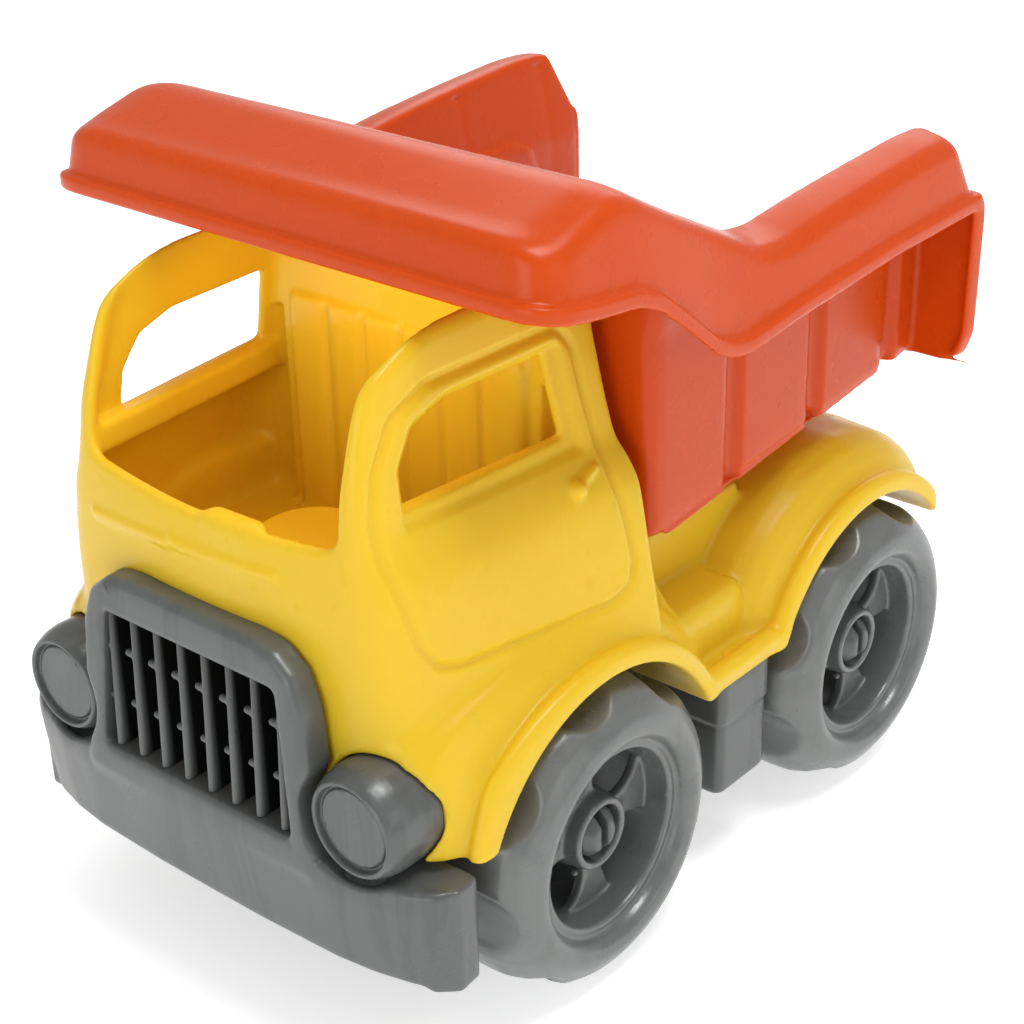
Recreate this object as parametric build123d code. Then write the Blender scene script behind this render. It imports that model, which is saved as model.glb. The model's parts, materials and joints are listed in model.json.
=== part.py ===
from build123d import *
import math
import os

# Toy dump truck. Frame: +Z up, the truck's front faces -Y, +X is its left side.
# The origin is the centre of the ground footprint. All sizes are in millimetres.

# Driving dimensions: overall layout
WHEEL_R = 43.0            # tyre radius, so the axles are this high
WHEELBASE = 122.5
FRONT_OVERHANG = WHEEL_R + 27.7    # front axle to the grille face
BED_OVERHANG = 39.3       # rear axle to the bed's rear flange
BED_WIDTH = 167.0         # over the lip of the bed's rails
LIFT = WHEEL_R - 43.0     # the body's heights below are for wheels of radius 43 and rise with larger ones
RIDGE_Z = 216.0 + LIFT    # highest line of the bed's canopy

LENGTH = FRONT_OVERHANG + WHEELBASE + WHEEL_R
FRONT_AXLE_Y = -LENGTH / 2 + FRONT_OVERHANG
REAR_AXLE_Y = FRONT_AXLE_Y + WHEELBASE
AXLE_Z = WHEEL_R

# Corners of outlines
STRAIGHT = 178.5          # degrees: a corner flatter than this stays a plain point
CORNER_SHARE = 0.49       # the most of an edge that a rounded corner may use

# Clearances between pieces
GAP = 0.2                 # between pieces that are fixed to each other
RUN = 0.05                # radial, a pin in the hole it turns in
HOLD = 0.08               # radial, a pin in the hole that holds it

# Wheels and axles
TYRE_X0 = 47.5            # inner side of the tyre
TYRE_X1 = 81.5            # outer side of the tyre
TYRE_SHOULDER = 13.0      # corner radius of the tyre's section
TYRE_WALL = 2.6
WELL_R = 24.3             # radius of the well in the wheel's face
WELL_LIP_X = 77.5         # edge of the well
WEB_X = 69.5              # face of the web at the well's bottom
WEB_T = 3.0
HUB_R = 9.9               # outer radius of the hub collar
HUB_X = 74.3              # face of the hub collar
HUB_POCKET_R = 7.9        # pocket in the collar that the snap head sits in
AXLE_R = 6.0
SNAP_R = 7.0              # barb of the axle's split end
SNAP_SLOT = 2.6
SCALLOPS = 8
SCALLOP_R = 9.0
WHEEL_BACK_T = 2.4

# Chassis tray
CHASSIS_HALF = 43.0
CHASSIS_Z0 = 31.0 + LIFT
DECK_Z = 62.0 + LIFT      # top of the chassis tray
CHASSIS_WALL = 3.0
CHASSIS_FRONT = FRONT_AXLE_Y - WHEEL_R - 7.0
CHASSIS_REAR = REAR_AXLE_Y + 30.0

# Cab shell
ARCH_R = WHEEL_R + 4.0    # radius of the wheel arches
FENDER_HALF = 77.0        # outer face of the arches
SHELL_Z0 = DECK_Z + GAP   # underside of the cab shell
SHELL_WALL = 2.6
WELL_HALF = 44.0          # inner wall of the wheel arches
NOSE_BOW = 3.0            # how far the nose bulges forward in the middle
CAB_FRONT = FRONT_AXLE_Y - WHEEL_R - 14.0
NOSE_Y = CAB_FRONT - NOSE_BOW - 1.0
CAB_REAR = FRONT_AXLE_Y + 28.0
SILL_Z = 138.5 + LIFT
CAB_TOP_Z = 185.0 + LIFT
REAR_DECK_Z = AXLE_Z + ARCH_R + 2.0      # top of the deck under the bed
CAB_FLOOR_Z = REAR_DECK_Z + 5.0          # top of the cab's floor, above the wheel arches
SEAT_R = 15.5
SEAT_Y = FRONT_AXLE_Y - 23.5
SEAT_Z = CAB_FLOOR_Z + 19.0
SEAT_BACK_HALF = 40.5     # half width of the padded panel behind the seat
SEAT_BACK_Y = CAB_REAR - 17.0
SEAT_BACK_Z = 161.0 + LIFT
FLUTES = 5                # upright grooves in that panel
FLUTE_PITCH = 13.5

# Headlights and grille
LAMP_R = 14.8
LAMP_X = 52.5
LAMP_Z = 72.5 + LIFT
LAMP_FRONT = -LENGTH / 2 + 2.6
LAMP_BACK = CAB_FRONT + 6.0
BUMPER_Z0 = 30.0 + LIFT
BUMPER_Z1 = 59.5 + LIFT
BUMPER_WALL = 2.8
BUMPER_HALF = 76.5        # half width over its wrapped ends
SLATS = 8
SLAT_T = 2.6
GRILLE_Z0 = 62.9 + LIFT   # sill of the grille opening
GRILLE_Z1 = 103.0 + LIFT  # top of the grille opening
GRILLE_LOW_HALF = 34.5
GRILLE_HIGH_HALF = 30.5
GRILLE_BACK = CAB_FRONT + 4.0            # rear edge of the slats, inside the nose

# Dump bed
BED_FRONT = CAB_REAR + 5.0
BED_REAR = REAR_AXLE_Y + BED_OVERHANG
TUB_HALF = 64.0           # outer face of the tub's side walls
BED_WALL = 2.5
WALL_GROOVES = (69.5, 108.5, 147.0)       # upright grooves of the side walls, behind the front axle
FLOOR_FRONT_Z = REAR_DECK_Z + 17.0       # underside of the floor at the bed's front wall
FLOOR_REAR_Z = FLOOR_FRONT_Z + 12.0      # underside of the floor at the rear flange
HINGE_Y = REAR_AXLE_Y + 25.5
HINGE_Z = REAR_DECK_Z + 12.0
HINGE_PIN_R = 3.0
HINGE_X = 30.0            # middle of each hinge ear
HINGE_EAR_T = 6.0
HINGE_LUG_T = 4.0
BED_REST_GAP = 0.3        # between the bed's ribs and the deck when the bed is down

# Fasteners
SCREW_R = 1.5
SCREW_HEAD_R = 3.2
SCREW_HEAD_T = 2.0
BOSS_R = 4.0
SCREW_REACH = 8.0         # how far a body screw goes in above the chassis deck


def block(x0, x1, y0, y1, z0, z1):
    """A box between two corners."""
    middle = ((x0 + x1) / 2, (y0 + y1) / 2, (z0 + z1) / 2)
    return Pos(*middle) * Box(x1 - x0, y1 - y0, z1 - z0)


def rod_x(radius, x0, x1, y, z):
    """A cylinder along X."""
    return Pos((x0 + x1) / 2, y, z) * Rot(0, 90, 0) * Cylinder(radius, x1 - x0)


def rod_y(radius, y0, y1, x, z):
    """A cylinder along Y."""
    return Pos(x, (y0 + y1) / 2, z) * Rot(90, 0, 0) * Cylinder(radius, y1 - y0)


def rod_z(radius, z0, z1, x, y):
    """A cylinder along Z."""
    return Pos(x, y, (z0 + z1) / 2) * Cylinder(radius, z1 - z0)


def corner_cut(before, corner, after, radius):
    """Where a rounded corner starts and ends, and its middle point."""
    corner = Vector(corner)
    into = (Vector(before) - corner)
    out = (Vector(after) - corner)
    turn = into.get_angle(out) / 2
    reach = min(radius / math.tan(math.radians(turn)), CORNER_SHARE * into.length, CORNER_SHARE * out.length)
    true_radius = reach * math.tan(math.radians(turn))
    inward = (into.normalized() + out.normalized()).normalized()
    to_middle = true_radius / math.sin(math.radians(turn)) - true_radius
    return corner + into.normalized() * reach, corner + inward * to_middle, corner + out.normalized() * reach


def rounded(points, radii):
    """A closed face through points with rounded corners, one radius for all or one for each."""
    count = len(points)
    if not isinstance(radii, (list, tuple)):
        radii = [radii] * count
    ends = []
    edges = []
    for index, corner in enumerate(points):
        before = points[index - 1]
        after = points[(index + 1) % count]
        angle = (Vector(before) - Vector(corner)).get_angle(Vector(after) - Vector(corner))
        if angle > STRAIGHT or radii[index] <= 0:
            ends.append((Vector(corner), Vector(corner)))
            continue
        start, middle, end = corner_cut(before, corner, after, radii[index])
        edges.append(ThreePointArc(start, middle, end))
        ends.append((start, end))
    for index in range(count):
        edges.append(Line(ends[index - 1][1], ends[index][0]))
    return make_face(edges)


def side_plate(points, radii, x0, x1):
    """A plate from x0 to x1 whose outline is given as (y, z) points."""
    return extrude(Plane.YZ.offset(x0) * rounded(points, radii), x1 - x0)


def plan_plate(points, radii, z0, z1):
    """A plate from z0 to z1 whose outline is given as (x, y) points."""
    return extrude(Plane.XY.offset(z0) * rounded(points, radii), z1 - z0)


def front_plate(points, radii, y0, y1):
    """A plate from y0 to y1 whose outline is given as (x, z) points."""
    return extrude(Plane.XZ.offset(-y1) * rounded(points, radii), y1 - y0)


def both_sides(half):
    """A shape and its mirror image across the truck's middle plane."""
    return half + mirror(half, Plane.YZ)


def mirrored_outline(right_side):
    """A closed outline from the points of its +X side, listed from one end to the other."""
    return right_side + [(-x, y) for x, y in reversed(right_side)]


# ---------------------------------------------------------------- wheels

def turned(profile, y):
    """A profile of (x, radius) points turned about an axle at y."""
    face = make_face(Polyline(*profile, close=True))
    ring = revolve(face, Axis.X, 360)
    return Pos(0, y, AXLE_Z) * ring


def tyre_section(inset):
    """Section of the tyre's outer surface as a rounded face in the (x, radius) plane."""
    shoulder = TYRE_SHOULDER - inset
    corners = [
        (TYRE_X0 + inset, WELL_R + TYRE_WALL),
        (TYRE_X0 + inset, WHEEL_R - inset),
        (TYRE_X1 - inset, WHEEL_R - inset),
        (TYRE_X1 - inset, WELL_R + TYRE_WALL),
    ]
    return rounded(corners, [0.6, shoulder, shoulder, 0.6])


def wheel():
    """Left wheel about the X axis at the origin: hollow tyre, well, web and hub collar."""
    tyre = revolve(tyre_section(0), Axis.X, 360)
    hollow = rod_x(WHEEL_R - TYRE_WALL, TYRE_X0 - 1, TYRE_X1 - TYRE_SHOULDER, 0, 0)
    hollow -= rod_x(WELL_R + TYRE_WALL, TYRE_X0 - 2, TYRE_X1, 0, 0)
    body = tyre - hollow
    lip = rod_x(WELL_R + TYRE_WALL, TYRE_X0 + WHEEL_BACK_T, WELL_LIP_X, 0, 0)
    lip -= rod_x(WELL_R, TYRE_X0, WELL_LIP_X + 1, 0, 0)
    web = rod_x(WELL_R, WEB_X - WEB_T, WEB_X, 0, 0)
    web -= web_openings()
    hub = rod_x(HUB_R, TYRE_X0, HUB_X, 0, 0)
    body = body + lip + web + hub
    body -= rod_x(AXLE_R + RUN, TYRE_X0 - 1, HUB_X + 1, 0, 0)
    body -= rod_x(HUB_POCKET_R, WEB_X - WEB_T, HUB_X + 1, 0, 0)
    for index in range(SCALLOPS):
        body -= Rot(360 / SCALLOPS * index, 0, 0) * scallop()
    return body


def web_openings():
    """Two round and two sector openings through the web of a wheel."""
    depth = 4 * WEB_T
    start = WEB_X - 3 * WEB_T
    openings = None
    for side in (-1, 1):
        hole = rod_x(8.6, start, start + depth, side * 17.5, 0)
        ring = rod_x(WELL_R + 1, start, start + depth, 0, 0)
        ring -= rod_x(HUB_R + 2.5, start - 1, start + depth + 1, 0, 0)
        wedge = [(0, 0), (24, side * 60), (-24, side * 60)]
        sector = ring & extrude(Plane.YZ.offset(start) * make_face(Polyline(*wedge, close=True)), depth)
        openings = hole + sector if openings is None else openings + hole + sector
    keep = rod_x(WELL_R, start - 1, start + depth + 1, 0, 0)
    return openings & keep


def scallop():
    """A thumb-shaped scoop across the tyre's outer shoulder, at the wheel's top."""
    scoop = Pos(TYRE_X1 - 1.0, 0, WHEEL_R + 4.0) * Rot(0, 38, 0) * Cylinder(SCALLOP_R, 10.5)
    return scoop


def wheel_back():
    """Disc that closes the hollow tyre on its inner side."""
    ring = rod_x(WHEEL_R - TYRE_WALL - GAP, TYRE_X0, TYRE_X0 + WHEEL_BACK_T, 0, 0)
    return ring - rod_x(WELL_R + TYRE_WALL + GAP, TYRE_X0 - 1, TYRE_X0 + WHEEL_BACK_T + 1, 0, 0)


def axle(y):
    """Axle bar with a split snap head at each end."""
    ledge_x = WEB_X - WEB_T + GAP
    bar = rod_x(AXLE_R, -ledge_x - 1, ledge_x + 1, y, AXLE_Z)
    head = Pos(0, y, AXLE_Z) * snap_head(ledge_x)
    return bar + both_sides(head)


def snap_head(start):
    """Split barb at the +X end of an axle that lies on the X axis."""
    tip = HUB_X + 1.2
    barb = [(start, 0), (start, SNAP_R), (tip - 3.4, SNAP_R), (tip, SNAP_R - 3.0), (tip, 0)]
    head = revolve(make_face(Polyline(*barb, close=True)), Axis.X, 360)
    return head - block(start + 1.5, tip + 1, -SNAP_SLOT / 2, SNAP_SLOT / 2, -20, 20)


# ---------------------------------------------------------------- chassis

def screw_places():
    """Places (x, y) of the screws that hold the cab shell, front pair first."""
    front = FRONT_AXLE_Y - 10.0
    rear = REAR_AXLE_Y + 12.0
    return [(-12.0, front), (12.0, front), (-22.0, rear), (22.0, rear)]


def fascia_screw_places():
    """Places (x, z) of the screws that hold the front fascia."""
    return [(-27.0, 46.0 + LIFT), (27.0, 46.0 + LIFT)]


def chassis():
    """Grey tray, open below, with axle bearings in its side walls."""
    outer = block(-CHASSIS_HALF, CHASSIS_HALF, CHASSIS_FRONT, CHASSIS_REAR, CHASSIS_Z0, DECK_Z)
    inner = block(
        -CHASSIS_HALF + CHASSIS_WALL, CHASSIS_HALF - CHASSIS_WALL,
        CHASSIS_FRONT + CHASSIS_WALL, CHASSIS_REAR - CHASSIS_WALL,
        CHASSIS_Z0 - 1, DECK_Z - CHASSIS_WALL,
    )
    tray = outer - inner
    rib_span = CHASSIS_HALF - CHASSIS_WALL / 2
    for y in (FRONT_AXLE_Y - 16, FRONT_AXLE_Y + 30, REAR_AXLE_Y - 30):
        tray += block(-rib_span, rib_span, y - 1.2, y + 1.2, CHASSIS_Z0 + 6, DECK_Z - 1)
    for y in (FRONT_AXLE_Y, REAR_AXLE_Y):
        for side in (-1, 1):
            bearing = side * (CHASSIS_HALF - CHASSIS_WALL - 4)
            end = side * (CHASSIS_HALF + 1.5)
            tray += rod_x(AXLE_R + 4, min(bearing, end), max(bearing, end), y, AXLE_Z)
        tray -= rod_x(AXLE_R + HOLD, -60, 60, y, AXLE_Z)
    for x, y in screw_places():
        tray -= rod_z(SCREW_R + GAP, DECK_Z - 10, DECK_Z + 1, x, y)
    for x, z in fascia_screw_places():
        tray -= rod_y(SCREW_R + GAP, CHASSIS_FRONT - 1, CHASSIS_FRONT + 10, x, z)
    return tray


def body_screws():
    """Screws up through the chassis deck into the cab shell."""
    screws = []
    for x, y in screw_places():
        head_z = DECK_Z - CHASSIS_WALL
        screw = rod_z(SCREW_R, head_z - 1, DECK_Z + SCREW_REACH, x, y)
        screw += rod_z(SCREW_HEAD_R, head_z - SCREW_HEAD_T, head_z, x, y)
        screw -= block(x - 2, x + 2, y - 0.4, y + 0.4, head_z - SCREW_HEAD_T - 1, head_z - SCREW_HEAD_T + 0.9)
        screws.append(screw)
    return Compound(children=screws)


def fascia_screws():
    """Screws forward through the chassis front wall into the fascia."""
    screws = []
    for x, z in fascia_screw_places():
        head_y = CHASSIS_FRONT + CHASSIS_WALL
        screw = rod_y(SCREW_R, CHASSIS_FRONT - 4.5, head_y + 1, x, z)
        screw += rod_y(SCREW_HEAD_R, head_y, head_y + SCREW_HEAD_T, x, z)
        screws.append(screw)
    return Compound(children=screws)


def step_box(side):
    """Grey box under a running board, with a lid line one third down."""
    y0 = FRONT_AXLE_Y + WHEEL_R + 9.5
    y1 = REAR_AXLE_Y - WHEEL_R - 2.8
    x0 = CHASSIS_HALF + GAP
    x1 = FENDER_HALF - 3.0
    outline = [(x0, y0), (x1, y0), (x1, y1), (x0, y1)]
    box = plan_plate(outline, [0.5, 3, 3, 0.5], 24.5 + LIFT, DECK_Z)
    groove = box - plan_plate([(x0 - 1, y0 + 0.8), (x1 - 0.8, y0 + 0.8), (x1 - 0.8, y1 - 0.8), (x0 - 1, y1 - 0.8)],
                              [0.5, 2.5, 2.5, 0.5], 24 + LIFT, DECK_Z + 1)
    box -= groove & block(x0 - 1, x1 + 1, y0 - 1, y1 + 1, 47.0 + LIFT, 48.0 + LIFT)
    return box if side > 0 else mirror(box, Plane.YZ)


# ---------------------------------------------------------------- front

def fascia_outline():
    """Plan of the bumper's front face from the middle to its wrapped end."""
    front = -LENGTH / 2
    return [
        (BUMPER_HALF - 32.5, front + 1.0), (BUMPER_HALF - 20.5, front + 2.8), (BUMPER_HALF - 8.5, front + 5.8),
        (BUMPER_HALF, front + 13.5), (BUMPER_HALF - 0.8, front + 21.5),
    ]


def front_fascia():
    """Bumper and grille surround in one moulding."""
    front = -LENGTH / 2
    back_y = CHASSIS_FRONT - GAP
    face = fascia_outline()
    tail = [(BUMPER_HALF - 7.0, face[-1][1]), (60.0, back_y), (30.0, back_y)]
    bumper = plan_plate(mirrored_outline([(20.0, front + 0.2)] + face + tail), 1.5, BUMPER_Z0, BUMPER_Z1)
    pocket_face = [(x - BUMPER_WALL * 0.9, y + BUMPER_WALL) for x, y in face[:3]]
    pocket_tail = [(56.0, back_y - BUMPER_WALL), (30.0, back_y - BUMPER_WALL)]
    pocket = mirrored_outline([(20.0, front + BUMPER_WALL + 0.8)] + pocket_face + pocket_tail)
    bumper -= plan_plate(pocket, 1.0, BUMPER_Z0 - 1, BUMPER_Z1 - BUMPER_WALL)
    body = bumper + grille_surround()
    for x, z in fascia_screw_places():
        body += rod_y(BOSS_R, back_y - 6, back_y, x, z)
        body -= rod_y(SCREW_R + HOLD, back_y - 5, CHASSIS_FRONT + 1, x, z)
    return body - lamp_seats()


def grille_opening(inset, y0, y1):
    """The space of the grille opening, smaller by an inset all round."""
    low = GRILLE_LOW_HALF - inset
    high = GRILLE_HIGH_HALF - inset
    z0 = GRILLE_Z0 + inset
    z1 = GRILLE_Z1 - inset
    return front_plate([(-low, z0), (low, z0), (high, z1), (-high, z1)], [2, 2, 6, 6], y0, y1)


def grille_surround():
    """Rounded arch round the grille opening."""
    front = -LENGTH / 2
    shoulder = 98.0 + LIFT
    top = 113.5 + LIFT
    outline = [
        (-41.3, BUMPER_Z1 - 2), (41.3, BUMPER_Z1 - 2), (39.0, shoulder),
        (32.0, top), (-32.0, top), (-39.0, shoulder),
    ]
    arch = front_plate(outline, [1.5, 1.5, 14, 9, 9, 14], front, NOSE_Y - GAP)
    return arch - grille_opening(0.0, front - 1, NOSE_Y)


def grille_insert():
    """Slats and cross rods that fill the grille opening."""
    y0 = -LENGTH / 2 + 1.2
    y1 = GRILLE_BACK
    pitch = 2 * GRILLE_LOW_HALF / SLATS
    insert = rod_x(1.4, -GRILLE_LOW_HALF, GRILLE_LOW_HALF, y0 + 5.0, GRILLE_Z0 + 11.0)
    insert += rod_x(1.4, -GRILLE_LOW_HALF, GRILLE_LOW_HALF, y0 + 5.0, GRILLE_Z0 + 27.0)
    for index in range(SLATS):
        x = -GRILLE_LOW_HALF + pitch * (index + 0.5)
        insert += block(x - SLAT_T / 2, x + SLAT_T / 2, y0, y1, GRILLE_Z0, GRILLE_Z1)
    return insert & grille_opening(GAP, y0 - 1, y1 + 1)


def headlight(side):
    """Drum with a raised rim and a recessed lens disc."""
    x = side * LAMP_X
    front = LAMP_FRONT
    drum = rod_y(LAMP_R, front + 3.0, LAMP_BACK, x, LAMP_Z)
    drum += rod_y(LAMP_R - 1.3, front, LAMP_BACK, x, LAMP_Z)
    drum -= rod_y(LAMP_R - 3.0, front - 1, front + 2.2, x, LAMP_Z)
    drum += rod_y(LAMP_R - 6.4, front + 0.9, front + 3.0, x, LAMP_Z)
    return drum


def lamp_seats():
    """The space of both headlight drums with their clearance."""
    return both_sides(rod_y(LAMP_R + GAP, -LENGTH, LAMP_BACK + GAP, LAMP_X, LAMP_Z))


# ---------------------------------------------------------------- cab shell

def cab_section(z, front_half, rear_half, front_y, inset=0.0):
    """Plan outline of the cab at a height: narrower and bowed at the front."""
    nose = front_y + inset
    tail = CAB_REAR - inset
    right = [
        (0.45 * front_half, nose - NOSE_BOW),
        (front_half - inset, nose + 3.0),
        (rear_half - inset, tail),
    ]
    radius = 8.0
    points = mirrored_outline(right)
    return Plane.XY.offset(z) * rounded(points, [30, radius, 4, 4, radius, 30])


def cab_body(inset, low_z, top_z):
    """The cab as a solid of stacked plan sections, inset for its inner surface."""
    sections = [
        (low_z, 58.0, 71.0, CAB_FRONT),
        (107.0 + LIFT, 57.5, 68.5, CAB_FRONT - 1),
        (131.0 + LIFT, 54.0, 64.8, CAB_FRONT + 1),
        (141.0 + LIFT, 49.5, 56.0, CAB_FRONT + 3.5),
        (top_z, 45.5, 47.5, CAB_FRONT + 12.0),
    ]
    faces = [cab_section(z, fh, rh, fy, inset) for z, fh, rh, fy in sections]
    return loft(faces, ruled=True)


def roof_line():
    """Side view of the greenhouse: leaning pillar, bend and rising roof rail."""
    base = NOSE_Y - 8.0
    return [
        (base, SHELL_Z0 - 1), (base, SILL_Z), (FRONT_AXLE_Y - 57.5, SILL_Z),
        (FRONT_AXLE_Y - 49.0, SILL_Z + 36.0), (FRONT_AXLE_Y - 20.0, CAB_TOP_Z - 2),
        (CAB_REAR + 1, CAB_TOP_Z), (CAB_REAR + 1, SHELL_Z0 - 1),
    ]


def window():
    """Door window opening, cut through one side of the cab."""
    points = [
        (FRONT_AXLE_Y - 41.5, 144.5 + LIFT), (FRONT_AXLE_Y + 10.5, 144.5 + LIFT),
        (FRONT_AXLE_Y + 9.0, 166.0 + LIFT), (FRONT_AXLE_Y - 36.0, 163.5 + LIFT),
    ]
    return side_plate(points, [2, 3, 4, 9], 30, 90)


def door_outline():
    """Groove that draws the door on the cab's side, as a thin wall through the side."""
    lift = LIFT
    y = FRONT_AXLE_Y
    outer = [
        (y - 51.0, 136.0 + lift), (y - 46.0, 107.0 + lift), (y + 20.0, 104.0 + lift),
        (y + 20.0, 120.0 + lift), (y + 14.0, 142.0 + lift), (y + 12.0, 171.0 + lift), (y - 42.0, 169.0 + lift),
    ]
    plate = side_plate(outer, [3, 9, 6, 8, 5, 6, 12], 30, 90)
    inner = side_plate([(a + (1.4 if a < y - 20 else -1.4), b + (1.4 if b < 125 + lift else -1.4)) for a, b in outer],
                       [2, 8, 5, 7, 4, 5, 11], 29, 91)
    return plate - inner


def fender(y):
    """Crowned ring over one wheel on the +X side, before its arch is cut."""
    crown = [
        (WELL_HALF - SHELL_WALL, 20.0), (WELL_HALF - SHELL_WALL, ARCH_R + 15.0), (58.0, ARCH_R + 15.0),
        (66.0, ARCH_R + 13.0), (72.0, ARCH_R + 9.5), (75.5, ARCH_R + 5.5), (FENDER_HALF, ARCH_R + 2.5),
        (FENDER_HALF, 20.0),
    ]
    return turned(crown, y)


def arch_space(y):
    """Space that a wheel turns in, on the +X side."""
    return rod_x(ARCH_R, WELL_HALF, FENDER_HALF + 10, y, AXLE_Z)


def cab_shell():
    """Yellow moulding: cab, nose, fenders, running boards and rear deck."""
    cab = cab_body(0.0, SHELL_Z0, CAB_TOP_Z)
    cab -= door_groove_cut()
    wings = fender(FRONT_AXLE_Y) & block(0, 90, CAB_FRONT - 3, FRONT_AXLE_Y + ARCH_R + 6, SHELL_Z0, 200)
    wings += fender(REAR_AXLE_Y) & block(0, 90, REAR_AXLE_Y - ARCH_R - 8, REAR_AXLE_Y + 70, SHELL_Z0, 200)
    wings -= block(0, 90, REAR_AXLE_Y + ARCH_R - 8, REAR_AXLE_Y + 80, SHELL_Z0 - 1, 200)
    nose = [
        (CAB_FRONT + 1, SHELL_Z0), (CAB_FRONT + 30, SHELL_Z0), (CAB_FRONT + 40, 99.0 + LIFT),
        (CAB_FRONT + 12, 96.0 + LIFT), (CAB_FRONT + 2, 84.0 + LIFT),
    ]
    wings += side_plate(nose, [1, 1, 4, 10, 8], 40.0, FENDER_HALF - 1.0)
    board_y0 = FRONT_AXLE_Y + ARCH_R - 8
    board_y1 = REAR_AXLE_Y - ARCH_R + 6
    wings += block(WELL_HALF - 3, FENDER_HALF - 1.0, board_y0, board_y1, SHELL_Z0, SHELL_Z0 + 7.8)
    wings += block(WELL_HALF - 3, 66.0, CAB_REAR - 4, board_y1 - 8, SHELL_Z0, SHELL_Z0 + 21.8)
    wings -= arch_space(FRONT_AXLE_Y)
    wings -= arch_space(REAR_AXLE_Y)
    deck = block(-60, 60, CAB_REAR - 5, REAR_AXLE_Y + 32.0, SHELL_Z0, REAR_DECK_Z)
    deck -= both_sides(arch_space(REAR_AXLE_Y) + arch_space(FRONT_AXLE_Y))
    body = cab - both_sides(arch_space(FRONT_AXLE_Y))
    body = body + deck + both_sides(wings)
    body -= cab_cavity()
    body -= underside_hollow()
    body -= grille_opening(-1.0, NOSE_Y - 2, CAB_FRONT + 7.0)
    body += seat_back()
    body -= side_plate_cut_above_roof_line()
    body -= block(-43.5, 43.5, CAB_FRONT - 10, FRONT_AXLE_Y - 20, SILL_Z, CAB_TOP_Z + 10)
    body -= both_sides(window())
    body += hinge_lugs()
    body += screw_bosses()
    body -= lamp_seats()
    return body


def seat_back():
    """Raised panel on the cab's inner rear wall with upright flutes."""
    panel = block(-SEAT_BACK_HALF, SEAT_BACK_HALF, SEAT_BACK_Y, CAB_REAR - 1, CAB_FLOOR_Z - 1, SEAT_BACK_Z)
    for index in range(FLUTES):
        x = FLUTE_PITCH * (index - (FLUTES - 1) / 2)
        panel -= block(x - 0.6, x + 0.6, SEAT_BACK_Y - 1, SEAT_BACK_Y + 1.2, CAB_FLOOR_Z, SEAT_BACK_Z + 1)
    return panel


def door_groove_cut():
    """Shallow grooves that draw both doors."""
    skin = cab_body(0.0, SHELL_Z0 - 1, CAB_TOP_Z + 1) - cab_body(0.9, SHELL_Z0 - 2, CAB_TOP_Z + 2)
    return skin & both_sides(door_outline())


def cab_cavity():
    """Inside of the cab, above the floor that covers the front arches."""
    room = cab_body(SHELL_WALL, SHELL_Z0, CAB_TOP_Z + 1)
    return room - block(-100, 100, -200, 200, 0, CAB_FLOOR_Z)


def underside_hollow():
    """Hollow below the cab's floor and the rear deck, between the arches."""
    half = WELL_HALF - SHELL_WALL
    low = SHELL_Z0 - 1
    cab = block(-half, half, CAB_FRONT + 6, CAB_REAR, low, CAB_FLOOR_Z - SHELL_WALL)
    deck = block(-half, half, CAB_REAR - 1, REAR_AXLE_Y + 32.0 - SHELL_WALL, low, REAR_DECK_Z - SHELL_WALL)
    return cab + deck


def side_plate_cut_above_roof_line():
    """Everything above the greenhouse's side view."""
    keep = side_plate(roof_line(), [1, 0.5, 1, 14, 20, 1, 1], -95, 95)
    return block(-94, 94, NOSE_Y - 7, CAB_REAR + 0.5, SHELL_Z0 + 10, CAB_TOP_Z + 20) - keep


def hinge_lugs():
    """Upright lugs on the rear deck that hold the hinge pins."""
    lugs = None
    for x in (HINGE_X - HINGE_EAR_T / 2 - HINGE_LUG_T - 0.4, HINGE_X + HINGE_EAR_T / 2 + 0.4):
        outline = [
            (HINGE_Y - 9, REAR_DECK_Z - 1), (HINGE_Y + 5.5, REAR_DECK_Z - 1),
            (HINGE_Y + 5.5, HINGE_Z + 5.5), (HINGE_Y - 5.5, HINGE_Z + 5.5),
        ]
        lug = side_plate(outline, [0.5, 0.5, 4.5, 4.5], x, x + HINGE_LUG_T)
        lugs = lug if lugs is None else lugs + lug
    lugs -= rod_x(HINGE_PIN_R + HOLD, 0, 60, HINGE_Y, HINGE_Z)
    return both_sides(lugs)


def screw_bosses():
    """Bosses with pilot holes for the body screws, down from the cab's floor and the deck."""
    bosses = None
    for index, (x, y) in enumerate(screw_places()):
        top = CAB_FLOOR_Z - 1 if index < 2 else REAR_DECK_Z - 1
        boss = rod_z(BOSS_R, SHELL_Z0, top, x, y)
        boss -= rod_z(SCREW_R + HOLD, SHELL_Z0 - 1, DECK_Z + SCREW_REACH + 1, x, y)
        bosses = boss if bosses is None else bosses + boss
    return bosses


def seat():
    """Hollow round seat that stands on the cab's floor."""
    floor = CAB_FLOOR_Z + GAP
    body = rod_z(SEAT_R, floor, SEAT_Z, 0, SEAT_Y)
    return body - rod_z(SEAT_R - SHELL_WALL, floor - 1, SEAT_Z - SHELL_WALL, 0, SEAT_Y)


# ---------------------------------------------------------------- dump bed

def rail_top():
    """Side view of the rail's upper line, front to rear, as (distance from front axle, height)."""
    heights = [
        (-31.5, 193.5), (-22.5, 208.5), (-1.0, RIDGE_Z - LIFT), (24.0, 204.0), (44.0, 195.0),
        (58.0, 187.0), (70.0, 186.0), (110.0, 190.0),
    ]
    return [(distance, z + LIFT) for distance, z in heights]


def rail_bottom():
    """Side view of the rail's lower lip, rear to front."""
    heights = [(116.0, 167.8), (68.0, 165.0), (47.0, 162.3), (39.0, 164.0), (10.5, 186.0), (2.0, 188.4), (-12.0, 189.5)]
    return [(distance, z + LIFT) for distance, z in heights]


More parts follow.
